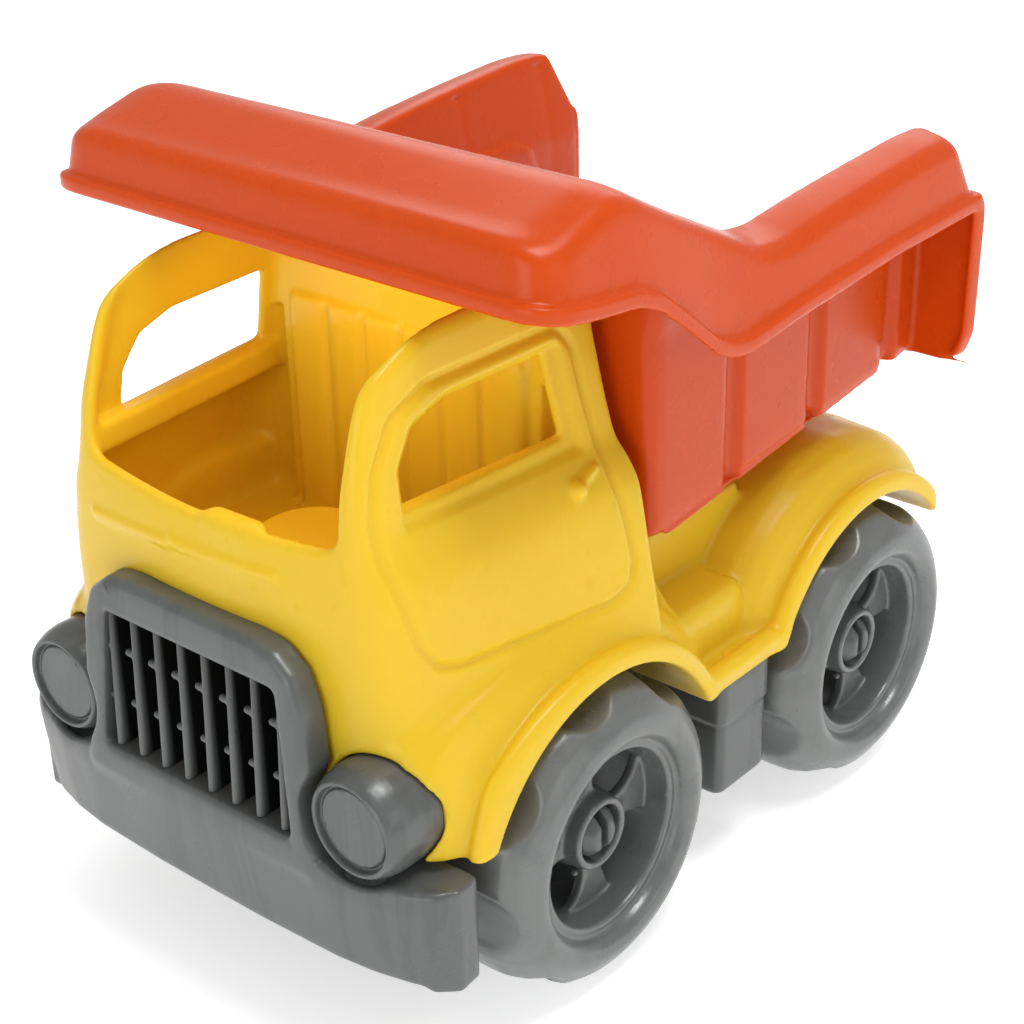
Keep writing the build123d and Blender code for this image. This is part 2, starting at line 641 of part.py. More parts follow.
def rail_side():
    """Side view of the whole rail as (y, z) points."""
    top = [(FRONT_AXLE_Y + d, z) for d, z in rail_top()]
    bottom = [(FRONT_AXLE_Y + d, z) for d, z in rail_bottom()]
    rear = [(BED_REAR - 17.0, 192.5 + LIFT), (BED_REAR - 1.0, 182.0 + LIFT), (BED_REAR, 168.4 + LIFT)]
    return top + rear + bottom


def bed_plan(inset):
    """Plan of the bed's rails with rounded front corners."""
    half = BED_WIDTH / 2 - inset
    front = FRONT_AXLE_Y - 31.5 + inset
    rear = BED_REAR - inset
    return rounded([(half, front), (half, rear), (-half, rear), (-half, front)], [14 - inset, 3, 3, 14 - inset])


def tub_side(extra):
    """Side view of the tub; extra raises its floor and thins its front for the inner surface."""
    front = BED_FRONT + extra
    return [
        (front, FLOOR_FRONT_Z + extra + 8.0), (front + 8.0, FLOOR_FRONT_Z + extra),
        (BED_REAR - 6.0 + (7.0 if extra else 0), FLOOR_REAR_Z + extra),
        (BED_REAR + (1.0 if extra else 0.0), FLOOR_REAR_Z + extra + 2.0),
        (BED_REAR + (1.0 if extra else 0.0), (230.0 if extra else 180.0) + LIFT),
        (front, (230.0 if extra else 180.0) + LIFT),
    ]


def dump_bed():
    """Orange moulding: tub, hollow rails, canopy, rear flange and hinge ears."""
    radii = [0.8, 0.8, 0.8, 6, 6, 4, 6, 10, 6, 8, 0.8, 6, 6, 6, 8, 6, 4, 0.8]
    envelope = extrude(Plane.XY.offset(100) * bed_plan(0.0), 150)
    rail = side_plate(rail_side(), radii[:len(rail_side())], -BED_WIDTH, BED_WIDTH) & envelope
    lowered = [(y, z - BED_WALL) for y, z in rail_side()[1:-len(rail_bottom())]]
    lowered[0] = (lowered[0][0] + 1.2, lowered[0][1])
    below = [(lowered[-1][0], 90.0), (FRONT_AXLE_Y - 31.5 + BED_WALL, 90.0),
             (FRONT_AXLE_Y - 31.5 + BED_WALL, 192.0 + LIFT)]
    hollow_side = side_plate(lowered + below, 0.6, -BED_WIDTH, BED_WIDTH)
    hollow = hollow_side & extrude(Plane.XY.offset(80) * bed_plan(BED_WALL), 150)
    tub_room = side_plate(tub_side(0.0), 1.0, -TUB_HALF, TUB_HALF)
    mouth = block(-TUB_HALF, TUB_HALF, BED_FRONT, BED_REAR + 5, 100, 230 + LIFT)
    skirt = rail - (hollow - mouth)
    tub = tub_room + skirt
    room = side_plate(tub_side(BED_WALL), [5, 5, 0.5, 0.5, 0.5, 0.5], -TUB_HALF + BED_WALL, TUB_HALF - BED_WALL)
    tub -= room
    flange = block(-BED_WIDTH / 2 + 0.5, BED_WIDTH / 2 - 0.5, BED_REAR - BED_WALL, BED_REAR, FLOOR_REAR_Z, 170 + LIFT)
    flange -= block(-TUB_HALF + BED_WALL, TUB_HALF - BED_WALL, BED_REAR - 9, BED_REAR + 9, 100, 230)
    tub += flange
    for distance in WALL_GROOVES:
        y = FRONT_AXLE_Y + distance
        groove = block(TUB_HALF - 1.0, TUB_HALF + 1, y - 3.0, y + 3.0, 100, 165 + LIFT)
        tub -= both_sides(groove)
    tub += bed_ears() + bed_runners()
    tub -= both_sides(rod_x(HINGE_PIN_R + RUN, 0, 60, HINGE_Y, HINGE_Z))
    return tub


def floor_z(y):
    """Height of the middle of the bed's floor at a place along the truck."""
    share = (y - BED_FRONT) / (BED_REAR - BED_FRONT)
    return FLOOR_FRONT_Z + share * (FLOOR_REAR_Z - FLOOR_FRONT_Z) + BED_WALL / 2


def bed_ears():
    """Ears under the floor that turn on the hinge pins."""
    outline = [
        (HINGE_Y - 8, floor_z(HINGE_Y - 8)), (HINGE_Y - 6, HINGE_Z - 6),
        (HINGE_Y + 6, HINGE_Z - 6), (HINGE_Y + 8, floor_z(HINGE_Y + 8)),
    ]
    ear = side_plate(outline, [0.5, 5, 5, 0.5], HINGE_X - HINGE_EAR_T / 2, HINGE_X + HINGE_EAR_T / 2)
    return both_sides(ear)


def bed_runners():
    """Ribs under the floor that rest on the deck."""
    y0 = BED_FRONT + 12
    y1 = HINGE_Y - 30
    rest = REAR_DECK_Z + BED_REST_GAP
    outline = [(y0, rest), (y1, rest), (y1 + 16, floor_z(y1 + 16)), (y0, floor_z(y0))]
    return both_sides(side_plate(outline, [3, 3, 0.5, 0.5], 18.0, 21.0))


def hinge_pin():
    """Pin through the lugs and the bed's ear on the +X side."""
    x0 = HINGE_X - HINGE_EAR_T / 2 - HINGE_LUG_T - 0.4
    x1 = HINGE_X + HINGE_EAR_T / 2 + HINGE_LUG_T + 0.4
    head = rod_x(HINGE_PIN_R + 1.8, x1 + GAP, x1 + GAP + 1.8, HINGE_Y, HINGE_Z)
    return rod_x(HINGE_PIN_R, x0, x1 + GAP + 0.5, HINGE_Y, HINGE_Z) + head


# ---------------------------------------------------------------- writing

def nodes():
    """Every separate piece by name."""
    pieces = {
        "chassis": chassis(),
        "front_fascia": front_fascia(),
        "grille_insert": grille_insert(),
        "headlight_left": headlight(1),
        "headlight_right": headlight(-1),
        "step_box_left": step_box(1),
        "step_box_right": step_box(-1),
        "cab_shell": cab_shell(),
        "seat": seat(),
        "dump_bed": dump_bed(),
        "front_axle": axle(FRONT_AXLE_Y),
        "rear_axle": axle(REAR_AXLE_Y),
        "hinge_pin_left": hinge_pin(),
        "hinge_pin_right": mirror(hinge_pin(), Plane.YZ),
        "body_screws": body_screws(),
        "fascia_screws": fascia_screws(),
    }
    left_wheel = wheel()
    left_back = wheel_back()
    for end, y in (("front", FRONT_AXLE_Y), ("rear", REAR_AXLE_Y)):
        place = Pos(0, y, AXLE_Z)
        pieces[f"wheel_{end}_left"] = place * left_wheel
        pieces[f"wheel_{end}_right"] = place * mirror(left_wheel, Plane.YZ)
        pieces[f"wheel_back_{end}_left"] = place * left_back
        pieces[f"wheel_back_{end}_right"] = place * mirror(left_back, Plane.YZ)
    return pieces


def main():
    """Writes one STEP file for each piece."""
    os.makedirs("parts", exist_ok=True)
    for name, piece in nodes().items():
        export_step(piece, f"parts/{name}.step")


main()
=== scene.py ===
import json
import math

import bpy
import numpy as np
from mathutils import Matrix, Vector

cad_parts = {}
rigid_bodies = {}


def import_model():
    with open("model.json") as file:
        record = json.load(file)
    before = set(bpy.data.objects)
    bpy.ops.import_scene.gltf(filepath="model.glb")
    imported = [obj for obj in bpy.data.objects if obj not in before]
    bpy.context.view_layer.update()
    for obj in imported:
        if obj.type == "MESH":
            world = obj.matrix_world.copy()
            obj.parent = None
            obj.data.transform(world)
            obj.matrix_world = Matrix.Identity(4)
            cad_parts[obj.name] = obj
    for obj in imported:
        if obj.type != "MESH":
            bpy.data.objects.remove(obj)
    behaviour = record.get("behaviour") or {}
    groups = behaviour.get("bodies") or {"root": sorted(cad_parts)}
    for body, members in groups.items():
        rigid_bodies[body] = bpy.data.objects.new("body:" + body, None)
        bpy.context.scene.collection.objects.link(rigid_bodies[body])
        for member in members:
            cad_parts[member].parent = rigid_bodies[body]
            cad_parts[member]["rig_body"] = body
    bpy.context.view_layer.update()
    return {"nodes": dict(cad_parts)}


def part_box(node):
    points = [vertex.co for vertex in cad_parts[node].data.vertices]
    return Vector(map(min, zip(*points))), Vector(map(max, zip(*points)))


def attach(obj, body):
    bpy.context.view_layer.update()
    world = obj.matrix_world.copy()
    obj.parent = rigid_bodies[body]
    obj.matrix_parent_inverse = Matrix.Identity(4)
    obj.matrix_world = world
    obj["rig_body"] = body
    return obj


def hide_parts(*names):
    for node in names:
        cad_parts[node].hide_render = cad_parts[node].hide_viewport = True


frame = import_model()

import openvdb
from mathutils import Matrix, Vector

# Toy dump truck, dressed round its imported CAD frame. Scene units are metres. Modelling on grids is done
# in millimetres: +Z up, the truck's front faces -Y, +X is its left side.
MM = 0.001

# Camera: a standing view from the front left corner
CAMERA_AZIMUTH = 40.83
CAMERA_ELEVATION = 27.01
CAMERA_ROLL = -1.37
CAMERA_DISTANCE = 0.560
CAMERA_AIM = (0.0177, -0.0143, 0.1045)
CAMERA_LENS = 73.25
SENSOR = 36.0

# Rounding of moulded edges
PITCH = 0.75              # grid spacing for the large mouldings
FINE_PITCH = 0.5          # grid spacing for the small mouldings
AXLE_PITCH = 0.4          # grid spacing for the axles
BAND = 5.0                # half width of a distance field, in grid steps
BLUR_PASSES = 3           # more passes round the edges more
ADAPTIVITY = 0.02         # how far flat areas may be simplified
TABLE_STEP = 0.25         # spacing of the rows of a profile's table, in millimetres

# Studio lights: name, place, size, power, colour
WHITE = (1.0, 1.0, 1.0)
LIGHTS = [
    ("key", (0.3, 0.0, 1.0), 0.35, 4.2, WHITE),
    ("rim", (-0.55, 0.95, 0.85), 0.9, 3.6, WHITE),
    ("front", (0.25, -1.2, 0.35), 0.6, 2.4, WHITE),
    ("cab_glow", (0.0, -0.072, 0.184), 0.05, 0.022, (1.0, 0.72, 0.35)),
    ("side", (1.2, 0.0, 0.5), 0.5, 0.9, WHITE),
]
GLOW_TILT = 0.35
FLOOR_HALF = 6.0
PAPER = (0.92, 0.92, 0.92, 1.0)
PAPER_GLOW = 0.55
SURROUND_STRENGTH = 0.5

# Colours, each with the tint of its flow streaks
ORANGE = (0.63, 0.068, 0.003)
ORANGE_FLOW = (0.62, 0.066, 0.003)
YELLOW = (0.80, 0.54, 0.024)
YELLOW_FLOW = (0.795, 0.536, 0.024)
GREY = (0.138, 0.146, 0.143)
GREY_FLOW = (0.122, 0.129, 0.126)
WHEEL_GREY = (0.188, 0.197, 0.193)
WHEEL_FLOW = (0.170, 0.178, 0.174)
DARK_GREY = (0.10, 0.103, 0.103)
DARK_FLOW = (0.08, 0.08, 0.08)
STEEL = (0.5, 0.51, 0.53)
STEEL_FLOW = (0.4, 0.4, 0.42)
# near-black colour of the painted shade deep in the grille
UNLIT = (0.008, 0.008, 0.008)
PEARL = 0.3               # metallic share of the pearly grey plastics
DARK_DEPTH = 4.0          # millimetres into the grille at which the painted shade on its slats is darkest


# ---------------------------------------------------------------- camera, floor and light

def place_camera():
    """Camera at the viewing angle, looking at the middle of the truck."""
    azimuth = math.radians(CAMERA_AZIMUTH)
    elevation = math.radians(CAMERA_ELEVATION)
    roll = math.radians(CAMERA_ROLL)
    level = Vector((math.cos(azimuth), math.sin(azimuth), 0.0))
    back = Vector((math.sin(azimuth) * math.cos(elevation), -math.cos(azimuth) * math.cos(elevation),
                   math.sin(elevation)))
    upright = back.cross(level)
    right = math.cos(roll) * level + math.sin(roll) * upright
    up = math.cos(roll) * upright - math.sin(roll) * level
    place = Vector(CAMERA_AIM) + back * CAMERA_DISTANCE
    data = bpy.data.cameras.new("camera")
    data.lens = CAMERA_LENS
    data.sensor_width = SENSOR
    camera = bpy.data.objects.new("camera", data)
    turn = Matrix((right, up, back)).transposed()
    camera.matrix_world = Matrix.Translation(place) @ turn.to_4x4()
    bpy.context.scene.collection.objects.link(camera)
    bpy.context.scene.camera = camera


def soft_light(name, place, size, power, colour):
    """A square soft box that points at the middle of the truck."""
    data = bpy.data.lights.new(name, "AREA")
    data.shape = "SQUARE"
    data.size = size
    data.energy = power
    data.color = colour
    lamp = bpy.data.objects.new(name, data)
    lamp.location = place
    aim = Vector((0.0, 0.0, 0.09)) - Vector(place)
    lamp.rotation_euler = aim.to_track_quat("-Z", "Y").to_euler()
    bpy.context.scene.collection.objects.link(lamp)
    return lamp


def studio():
    """Pale self-lit floor, soft lights, a small warm light inside the cab and a bright surround."""
    half = FLOOR_HALF
    corners = [(-half, -half, 0), (half, -half, 0), (half, half, 0), (-half, half, 0)]
    mesh = bpy.data.meshes.new("floor")
    mesh.from_pydata(corners, [], [(0, 1, 2, 3)])
    floor = bpy.data.objects.new("floor", mesh)
    bpy.context.scene.collection.objects.link(floor)
    paper = bpy.data.materials.new("studio_paper")
    paper.use_nodes = True
    shader = paper.node_tree.nodes["Principled BSDF"]
    shader.inputs["Base Color"].default_value = PAPER
    shader.inputs["Roughness"].default_value = 0.85
    shader.inputs["Emission Color"].default_value = (1.0, 1.0, 1.0, 1.0)
    shader.inputs["Emission Strength"].default_value = PAPER_GLOW
    mesh.materials.append(paper)
    world = bpy.data.worlds.new("surround")
    world.use_nodes = True
    background = world.node_tree.nodes["Background"]
    background.inputs["Color"].default_value = (1.0, 1.0, 1.0, 1.0)
    background.inputs["Strength"].default_value = SURROUND_STRENGTH
    bpy.context.scene.world = world
    lamps = {light[0]: soft_light(*light) for light in LIGHTS}
    lamps["cab_glow"].rotation_euler = (GLOW_TILT, 0.0, 0.0)
    lamps["cab_glow"].visible_camera = False


# ---------------------------------------------------------------- materials

def link(tree, source, output, target, socket):
    """Joins one node's output to another's input."""
    tree.links.new(source.outputs[output], target.inputs[socket])


def noise(tree, place, scale, detail, distortion=0.0, output="Object"):
    """Noise texture on the coordinates from a node's output; scale is waves per unit."""
    node = tree.nodes.new("ShaderNodeTexNoise")
    node.inputs["Scale"].default_value = scale
    node.inputs["Detail"].default_value = detail
    node.inputs["Roughness"].default_value = 0.5
    node.inputs["Distortion"].default_value = distortion
    link(tree, place, output, node, "Vector")
    return node


def ramp(tree, source, stops, output="Fac"):
    """Colour ramp over a noise value; stops are (place, colour)."""
    node = tree.nodes.new("ShaderNodeValToRGB")
    while len(node.color_ramp.elements) < len(stops):
        node.color_ramp.elements.new(0.5)
    for element, (place, colour) in zip(node.color_ramp.elements, stops):
        element.position = place
        element.color = (*colour, 1.0)
    link(tree, source, output, node, "Fac")
    return node


def moulded_plastic(name, base, streak, gloss, rough, streak_scale, subsurface=0.0):
    """Injection-moulded plastic: flow streaks in the colour, uneven gloss and faint orange peel."""
    material = bpy.data.materials.new(name)
    material.use_nodes = True
    tree = material.node_tree
    shader = tree.nodes["Principled BSDF"]
    place = tree.nodes.new("ShaderNodeTexCoord")
    stretch = tree.nodes.new("ShaderNodeMapping")
    stretch.inputs["Scale"].default_value = streak_scale
    link(tree, place, "Object", stretch, "Vector")
    flow = noise(tree, stretch, 1.0, 2.0, 1.2, "Vector")
    tint = ramp(tree, flow, [(0.30, base), (0.48, base), (0.60, streak), (0.76, base)])
    link(tree, tint, "Color", shader, "Base Color")
    cloud = noise(tree, place, 60.0, 3.0)
    uneven = ramp(tree, cloud, [(0.3, (gloss,) * 3), (0.7, (rough,) * 3)])
    link(tree, uneven, "Color", shader, "Roughness")
    peel = noise(tree, place, 900.0, 2.0)
    bump = tree.nodes.new("ShaderNodeBump")
    bump.inputs["Strength"].default_value = 0.05
    bump.inputs["Distance"].default_value = 0.0003
    link(tree, peel, "Fac", bump, "Height")
    link(tree, bump, "Normal", shader, "Normal")
    shader.inputs["IOR"].default_value = 1.5
    shader.inputs["Specular IOR Level"].default_value = 0.24
    if subsurface:
        shader.inputs["Subsurface Weight"].default_value = subsurface
        shader.inputs["Subsurface Radius"].default_value = (0.004, 0.002, 0.0008)
        shader.inputs["Subsurface Scale"].default_value = 1.0
    return material


def paint_shade_inwards(material, front):
    """Paints shade into a grey plastic: its colour falls to near black behind a place along the truck,
    painted shade standing in for the dark depth of a deep grille.
    """
    tree = material.node_tree
    place = tree.nodes.new("ShaderNodeTexCoord")
    split = tree.nodes.new("ShaderNodeSeparateXYZ")
    link(tree, place, "Object", split, "Vector")
    depth = tree.nodes.new("ShaderNodeMapRange")
    depth.inputs["From Min"].default_value = (front + 0.8) * MM
    depth.inputs["From Max"].default_value = (front + DARK_DEPTH) * MM
    link(tree, split, "Y", depth, "Value")
    # painted shade: grey at the slats' front edges, falling to near black deeper in
    shade = ramp(tree, depth, [(0.0, GREY), (0.3, GREY_FLOW), (1.0, UNLIT)], "Result")
    link(tree, shade, "Color", tree.nodes["Principled BSDF"], "Base Color")
    return material


def grey_plastic(name):
    """The dull grey plastic, streaked upwards."""
    return moulded_plastic(name, GREY, GREY_FLOW, 0.26, 0.34, (90, 90, 14))


def all_materials():
    """Every material by the record's slot name."""
    steel = moulded_plastic("screw_steel", STEEL, STEEL_FLOW, 0.25, 0.35, (400, 400, 400))
    steel.node_tree.nodes["Principled BSDF"].inputs["Metallic"].default_value = 1.0
    slots = {
        "orange_plastic": moulded_plastic(
            "orange_plastic", ORANGE, ORANGE_FLOW, 0.24, 0.32, (30, 8, 18), 0.2),
        "yellow_plastic": moulded_plastic(
            "yellow_plastic", YELLOW, YELLOW_FLOW, 0.26, 0.34, (25, 12, 18), 0.4),
        "grey_plastic": grey_plastic("grey_plastic"),
        "grey_wheel_plastic": moulded_plastic(
            "grey_wheel_plastic", WHEEL_GREY, WHEEL_FLOW, 0.24, 0.34, (40, 60, 60)),
        "dark_grey_plastic": moulded_plastic(
            "dark_grey_plastic", DARK_GREY, DARK_FLOW, 0.4, 0.5, (40, 40, 40)),
        "screw_steel": steel,
    }
    for name in ("grey_plastic", "grey_wheel_plastic"):
        slots[name].node_tree.nodes["Principled BSDF"].inputs["Metallic"].default_value = PEARL
    return slots


# ---------------------------------------------------------------- modelling on a grid

class Grid:
    """A regular grid over a box, in millimetres, on which a moulding is worked out as signed distances."""

    def __init__(self, low, high, pitch):
        self.pitch = pitch
        margin = BAND + 2
        self.start = np.floor(np.array(low) / pitch - margin).astype(int)
        self.count = np.ceil(np.array(high) / pitch + margin).astype(int) - self.start + 1
        self.transform = openvdb.createLinearTransform(voxelSize=pitch)
        axes = [(np.arange(self.count[i]) + self.start[i]).astype(np.float32) * pitch for i in range(3)]
        self.x = axes[0][:, None, None]
        self.y = axes[1][None, :, None]
        self.z = axes[2][None, None, :]
        self.ax = np.abs(self.x)

    def of_mesh(self, points, triangles):
        """Signed distance to a closed mesh, capped a few steps from its surface."""
        level = openvdb.FloatGrid.createLevelSetFromPolygons(
            points, triangles=triangles, transform=self.transform, halfWidth=BAND)
        field = np.full(self.count, BAND * self.pitch, np.float32)
        level.copyToArray(field, ijk=tuple(int(i) for i in self.start))
        return field

    def mesh(self, field, name):
        """The zero surface of a field as a smooth-shaded mesh object."""
        cap = BAND * self.pitch
        field = np.clip(field, -cap, cap)
        slopes = np.gradient(field)
        level = openvdb.FloatGrid(background=float(cap))
        level.transform = self.transform
        level.copyFromArray(field, ijk=tuple(int(i) for i in self.start))
        points, triangles, quads = level.convertToPolygons(isovalue=0.0, adaptivity=ADAPTIVITY)
        corners = triangles.tolist() + quads.tolist()
        mesh = bpy.data.meshes.new(name)
        mesh.from_pydata((points * MM).tolist(), [], corners)
        mesh.shade_smooth()
        spots = points / self.pitch - self.start
        base = np.clip(np.floor(spots).astype(int), 0, self.count - 2)
        part = (spots - base).astype(np.float32)
        normals = np.zeros((len(points), 3), np.float32)
        for corner in range(8):
            step = np.array([corner & 1, corner >> 1 & 1, corner >> 2 & 1])
            weight = np.prod(np.where(step, part, 1 - part), axis=1)
            place = base + step
            for axis in range(3):
                normals[:, axis] += weight * slopes[axis][place[:, 0], place[:, 1], place[:, 2]]
        normals /= np.maximum(np.linalg.norm(normals, axis=1, keepdims=True), 1e-6)
        mesh.normals_split_custom_set_from_vertices(normals.tolist())
        thing = bpy.data.objects.new(name, mesh)
        bpy.context.scene.collection.objects.link(thing)
        return thing


def blurred(field, passes, axes=(0, 1, 2)):
    """Field blurred a few times, which rounds its edges and corners."""
    for _ in range(passes):
        for axis in axes:
            if field.shape[axis] > 1:
                low = np.take(field, [0], axis)
                high = np.take(field, [-1], axis)
                wide = np.concatenate([low, field, high], axis)
                count = field.shape[axis]
                before = np.take(wide, range(0, count), axis)
                after = np.take(wide, range(2, count + 2), axis)
                field = 0.5 * field + 0.25 * (before + after)
    return field


def softened(grid, field, reach):
    """Flat field blurred over about a reach in millimetres."""
    return blurred(field, max(1, round(2 * (reach / grid.pitch) ** 2 / 3)))


def both(a, b, soft=0.0):
    """The space common to two fields, with a rounded edge where they meet."""
    if np.all(soft == 0):
        return np.maximum(a, b)
    share = np.clip(0.5 + 0.5 * (a - b) / soft, 0, 1)
    return a * share + b * (1 - share) + soft * share * (1 - share)


def either(a, b, soft=0.0):
    """Two fields joined, with a fillet where they meet."""
    return -both(-a, -b, soft)


def without(a, b, soft=0.0):
    """A field with another cut out of it, with a rounded edge."""
    return both(a, -b, soft)


def curve(points, along, soft=0.0):
    """Height of a line through (place, height) points, with its bends eased over a distance."""
    places = [p for p, _ in points]
    heights = [h for _, h in points]
    steps = np.linspace(-soft, soft, 9) if soft else [0.0]
    return sum(np.interp(along + step, places, heights) for step in steps).astype(np.float32) / len(steps)


def outline(u, v, points):
    """Signed distance on a plane to a closed outline."""
    u, v = np.broadcast_arrays(u, v)
    nearest = np.full(u.shape, 1e9, np.float32)
    sign = np.ones(u.shape, np.float32)
    for (u0, v0), (u1, v1) in zip(points, points[1:] + points[:1]):
        du, dv = u1 - u0, v1 - v0
        share = np.clip(((u - u0) * du + (v - v0) * dv) / (du * du + dv * dv), 0, 1)
        nearest = np.minimum(nearest, (u - u0 - share * du) ** 2 + (v - v0 - share * dv) ** 2)
        crossing = (v0 > v) != (v1 > v)
        if dv:
            crossing &= u < u0 + du * (v - v0) / dv
        sign = np.where(crossing, -sign, sign)
    return (sign * np.sqrt(nearest)).astype(np.float32)


def front_view_of(grid, bottom, top):
    """Symmetric four-sided outline seen from the front, from its bottom and top (half width, height)."""
    points = [(-bottom[0], bottom[1]), bottom, top, (-top[0], top[1])]
    return outline(grid.x[:, :, 0], grid.z[0], points)[:, None, :]


def looked_up(table, places):
    """A table's values at places between its rows."""
    index = places / TABLE_STEP
    low = np.clip(np.floor(index).astype(int), 0, table.shape[1] - 2)
    part = (index - low).astype(np.float32)
    return table[:, low] * (1 - part) + table[:, low + 1] * part


def lathed(along, radius, profile, soft):
    """A profile of (place, radius) points turned about an axis; the axis becomes the first direction."""
    reach = np.arange(0, float(radius.max()) + 2 * TABLE_STEP, TABLE_STEP, dtype=np.float32)
    table = outline(along[:, None], reach[None, :], profile)
    table = blurred(table, round(2 * (soft / TABLE_STEP) ** 2 / 3), (1,))
    table = blurred(table, round(2 * (soft / abs(along[1] - along[0])) ** 2 / 3), (0,))
    return looked_up(table, radius)


def slab(grid, x=None, y=None, z=None, soft=0.0):
    """A box given by its (low, high) limits; a missing pair leaves that direction open."""
    field = None
    for limits, along in ((x, grid.x), (y, grid.y), (z, grid.z)):
        if limits is None:
            continue
        part = np.abs(along - (limits[0] + limits[1]) / 2) - (limits[1] - limits[0]) / 2
        field = part if field is None else both(field, part, soft)
    return field


def capsule(grid, start, end, radius, mirrored=False):
    """A round-ended rod between two points."""
    across = grid.ax if mirrored else grid.x
    run = [b - a for a, b in zip(start, end)]
    length = sum(r * r for r in run) or 1.0
    spots = [across - start[0], grid.y - start[1], grid.z - start[2]]
    share = np.clip(sum(s * r for s, r in zip(spots, run)) / length, 0, 1)
    return np.sqrt(sum((s - share * r) ** 2 for s, r in zip(spots, run))) - radius


def triangles_of(node):
    """Points in millimetres and triangles of a CAD node."""
    mesh = frame["nodes"][node].data
    mesh.calc_loop_triangles()
    points = np.zeros(len(mesh.vertices) * 3, np.float32)
    mesh.vertices.foreach_get("co", points)
    triangles = np.zeros(len(mesh.loop_triangles) * 3, np.int32)
    mesh.loop_triangles.foreach_get("vertices", triangles)
    return points.reshape(-1, 3) / MM, triangles.reshape(-1, 3)


def limits(node):
    """Lowest and highest corner of a CAD node in millimetres."""
    low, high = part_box(node)
    return [v / MM for v in low], [v / MM for v in high]


def moulded(node, pitch, passes=BLUR_PASSES):
    """A CAD node with its edges rounded as a mould leaves them."""
    grid = Grid(*limits(node), pitch)
    field = blurred(grid.of_mesh(*triangles_of(node)), passes)
    return grid.mesh(field, node + "_moulding")


def dress(piece, node, slot):
    """A piece stands for a CAD node, moves with its body and takes its finish."""
    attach(piece, frame["nodes"][node]["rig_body"])
    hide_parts(node)
    piece.data.materials.clear()
    piece.data.materials.append(MATERIALS[slot])
    return piece


# ---------------------------------------------------------------- places taken from the frame

def middle(node, axis):
    """Middle of a CAD node along one axis, in millimetres."""
    low, high = limits(node)
    return (low[axis] + high[axis]) / 2


FRONT_AXLE = middle("front_axle", 1)
REAR_AXLE = middle("rear_axle", 1)
AXLE_Z = middle("front_axle", 2)
BED_LOW, BED_HIGH = limits("dump_bed")
CAB_LOW, CAB_HIGH = limits("cab_shell")
FASCIA_LOW, FASCIA_HIGH = limits("front_fascia")
FRONT = FASCIA_LOW[1]
CAB_REAR = FRONT_AXLE + 28.0
CAB_FRONT = FRONT_AXLE - 57.0
BED_FRONT = CAB_REAR + 5.0


# ---------------------------------------------------------------- dump bed

RAIL_HALF = BED_HIGH[0]
BED_REAR = BED_HIGH[1]
BED_PITCH = 0.62
BED_WALL = 2.4
BEAD_HEIGHT = 4.6         # height of the bead along the lip
BEAD_STEP = 2.0           # how far the bead stands out from the rail above it
SIDE_DRAFT = 0.13
FRONT_DRAFT = 0.14
REAR_DRAFT = 0.45
CROWN_START = 66.0        # half width at which the rail's top starts to fall away
CROWN_DROP = 0.016
TRUE_SLOPE = 0.92         # turns a height difference on a sloping face into a distance
TUB_HALF = 64.0
TUB_INNER_HALF = 60.4
FLARE_Z = 165.0           # height above which the tub's sides spread
FLARE = 0.2
TUB_LOW_Z = 109.0         # the tub's underside at its front
TUB_RISE = 12.0           # how much higher the underside is at the rear
GROOVE_PLACES = (69.5, 108.5, 147.0)
GROOVE_HALF = 3.8
GROOVE_DEPTH = 2.2
PAD_DEPTH = 1.1           # how far the raised pad stands into the tub

# Side view lines of the bed: (distance behind the front axle, height)
BED_LIP = [(-32, 193.2), (-26, 192), (-12, 189.6), (2.5, 188), (10.5, 185), (22, 176.2), (34.5, 165.8),
           (41, 163), (48, 162), (69, 164.4), (116, 167.4), (162, 168.2)]
BED_TOP = [(-22, 209.6), (-1, 215.6), (5, 214.4), (24, 204), (43.5, 194), (58, 187), (69, 185.6),
           (87, 187.8), (110, 189.8), (138, 191.6), (146, 191.4)]
INNER_PAD = [(20, 100), (20, 166), (128, 169), (136, 165), (140, 156), (146, 100)]


def bed_lines(y):
    """Heights of the bed's lip and rail top at a place along the truck."""
    behind = y - FRONT_AXLE
    return curve(BED_LIP, behind, 2.5), curve(BED_TOP, behind, 4)


def tub_underside(y):
    """Height of the tub's underside at a place along the truck."""
    return TUB_LOW_Z + TUB_RISE * (y - BED_FRONT) / (BED_REAR - BED_FRONT)


def tub_flare(z):
    """How far the tub's sides have spread at a height."""
    return FLARE * np.maximum(z - FLARE_Z, 0)


def bed_skin(grid, inset):
    """Outer skin of the rails and canopy as a solid, inset for its inner face."""
    lip, top = bed_lines(grid.y)
    up = np.clip(grid.z - (lip + BEAD_HEIGHT), -3, 40)
    side = grid.ax - (RAIL_HALF - BEAD_STEP - SIDE_DRAFT * up)
    nose = BED_LOW[1] + BEAD_STEP + FRONT_DRAFT * up - grid.y
    tail = (grid.y - (BED_REAR - BEAD_STEP - REAR_DRAFT * up)) * TRUE_SLOPE
    crown = top - np.clip(grid.ax - CROWN_START, 0, 20) ** 2 * CROWN_DROP
    roof = (grid.z - crown) * TRUE_SLOPE
    walls = both(both(side, nose, 12.0), tail, 6.0)
    return both(walls, roof, 3.4) + inset


def bed_skirt(grid):
    """Rails and canopy with the bead along their lip: the hollow shell, then its solid outer skin."""
    lip, _ = bed_lines(grid.y)
    bead_top = lip + BEAD_HEIGHT
    plan = both(grid.ax - RAIL_HALF, BED_LOW[1] - grid.y, 13.0)
    plan = both(plan, grid.y - BED_REAR, 4.0)
    bead = both(plan, grid.z - bead_top, 1.2)
    outer = either(bed_skin(grid, 0.0), bead, 0.8)
    outer = both(outer, lip - grid.z, 0.9)
    bead_room = both(plan + 2.0, grid.z - (bead_top - BED_WALL), 1.0)
    inner = either(bed_skin(grid, BED_WALL), bead_room, 0.5)
    return without(outer, inner, 0.8), outer


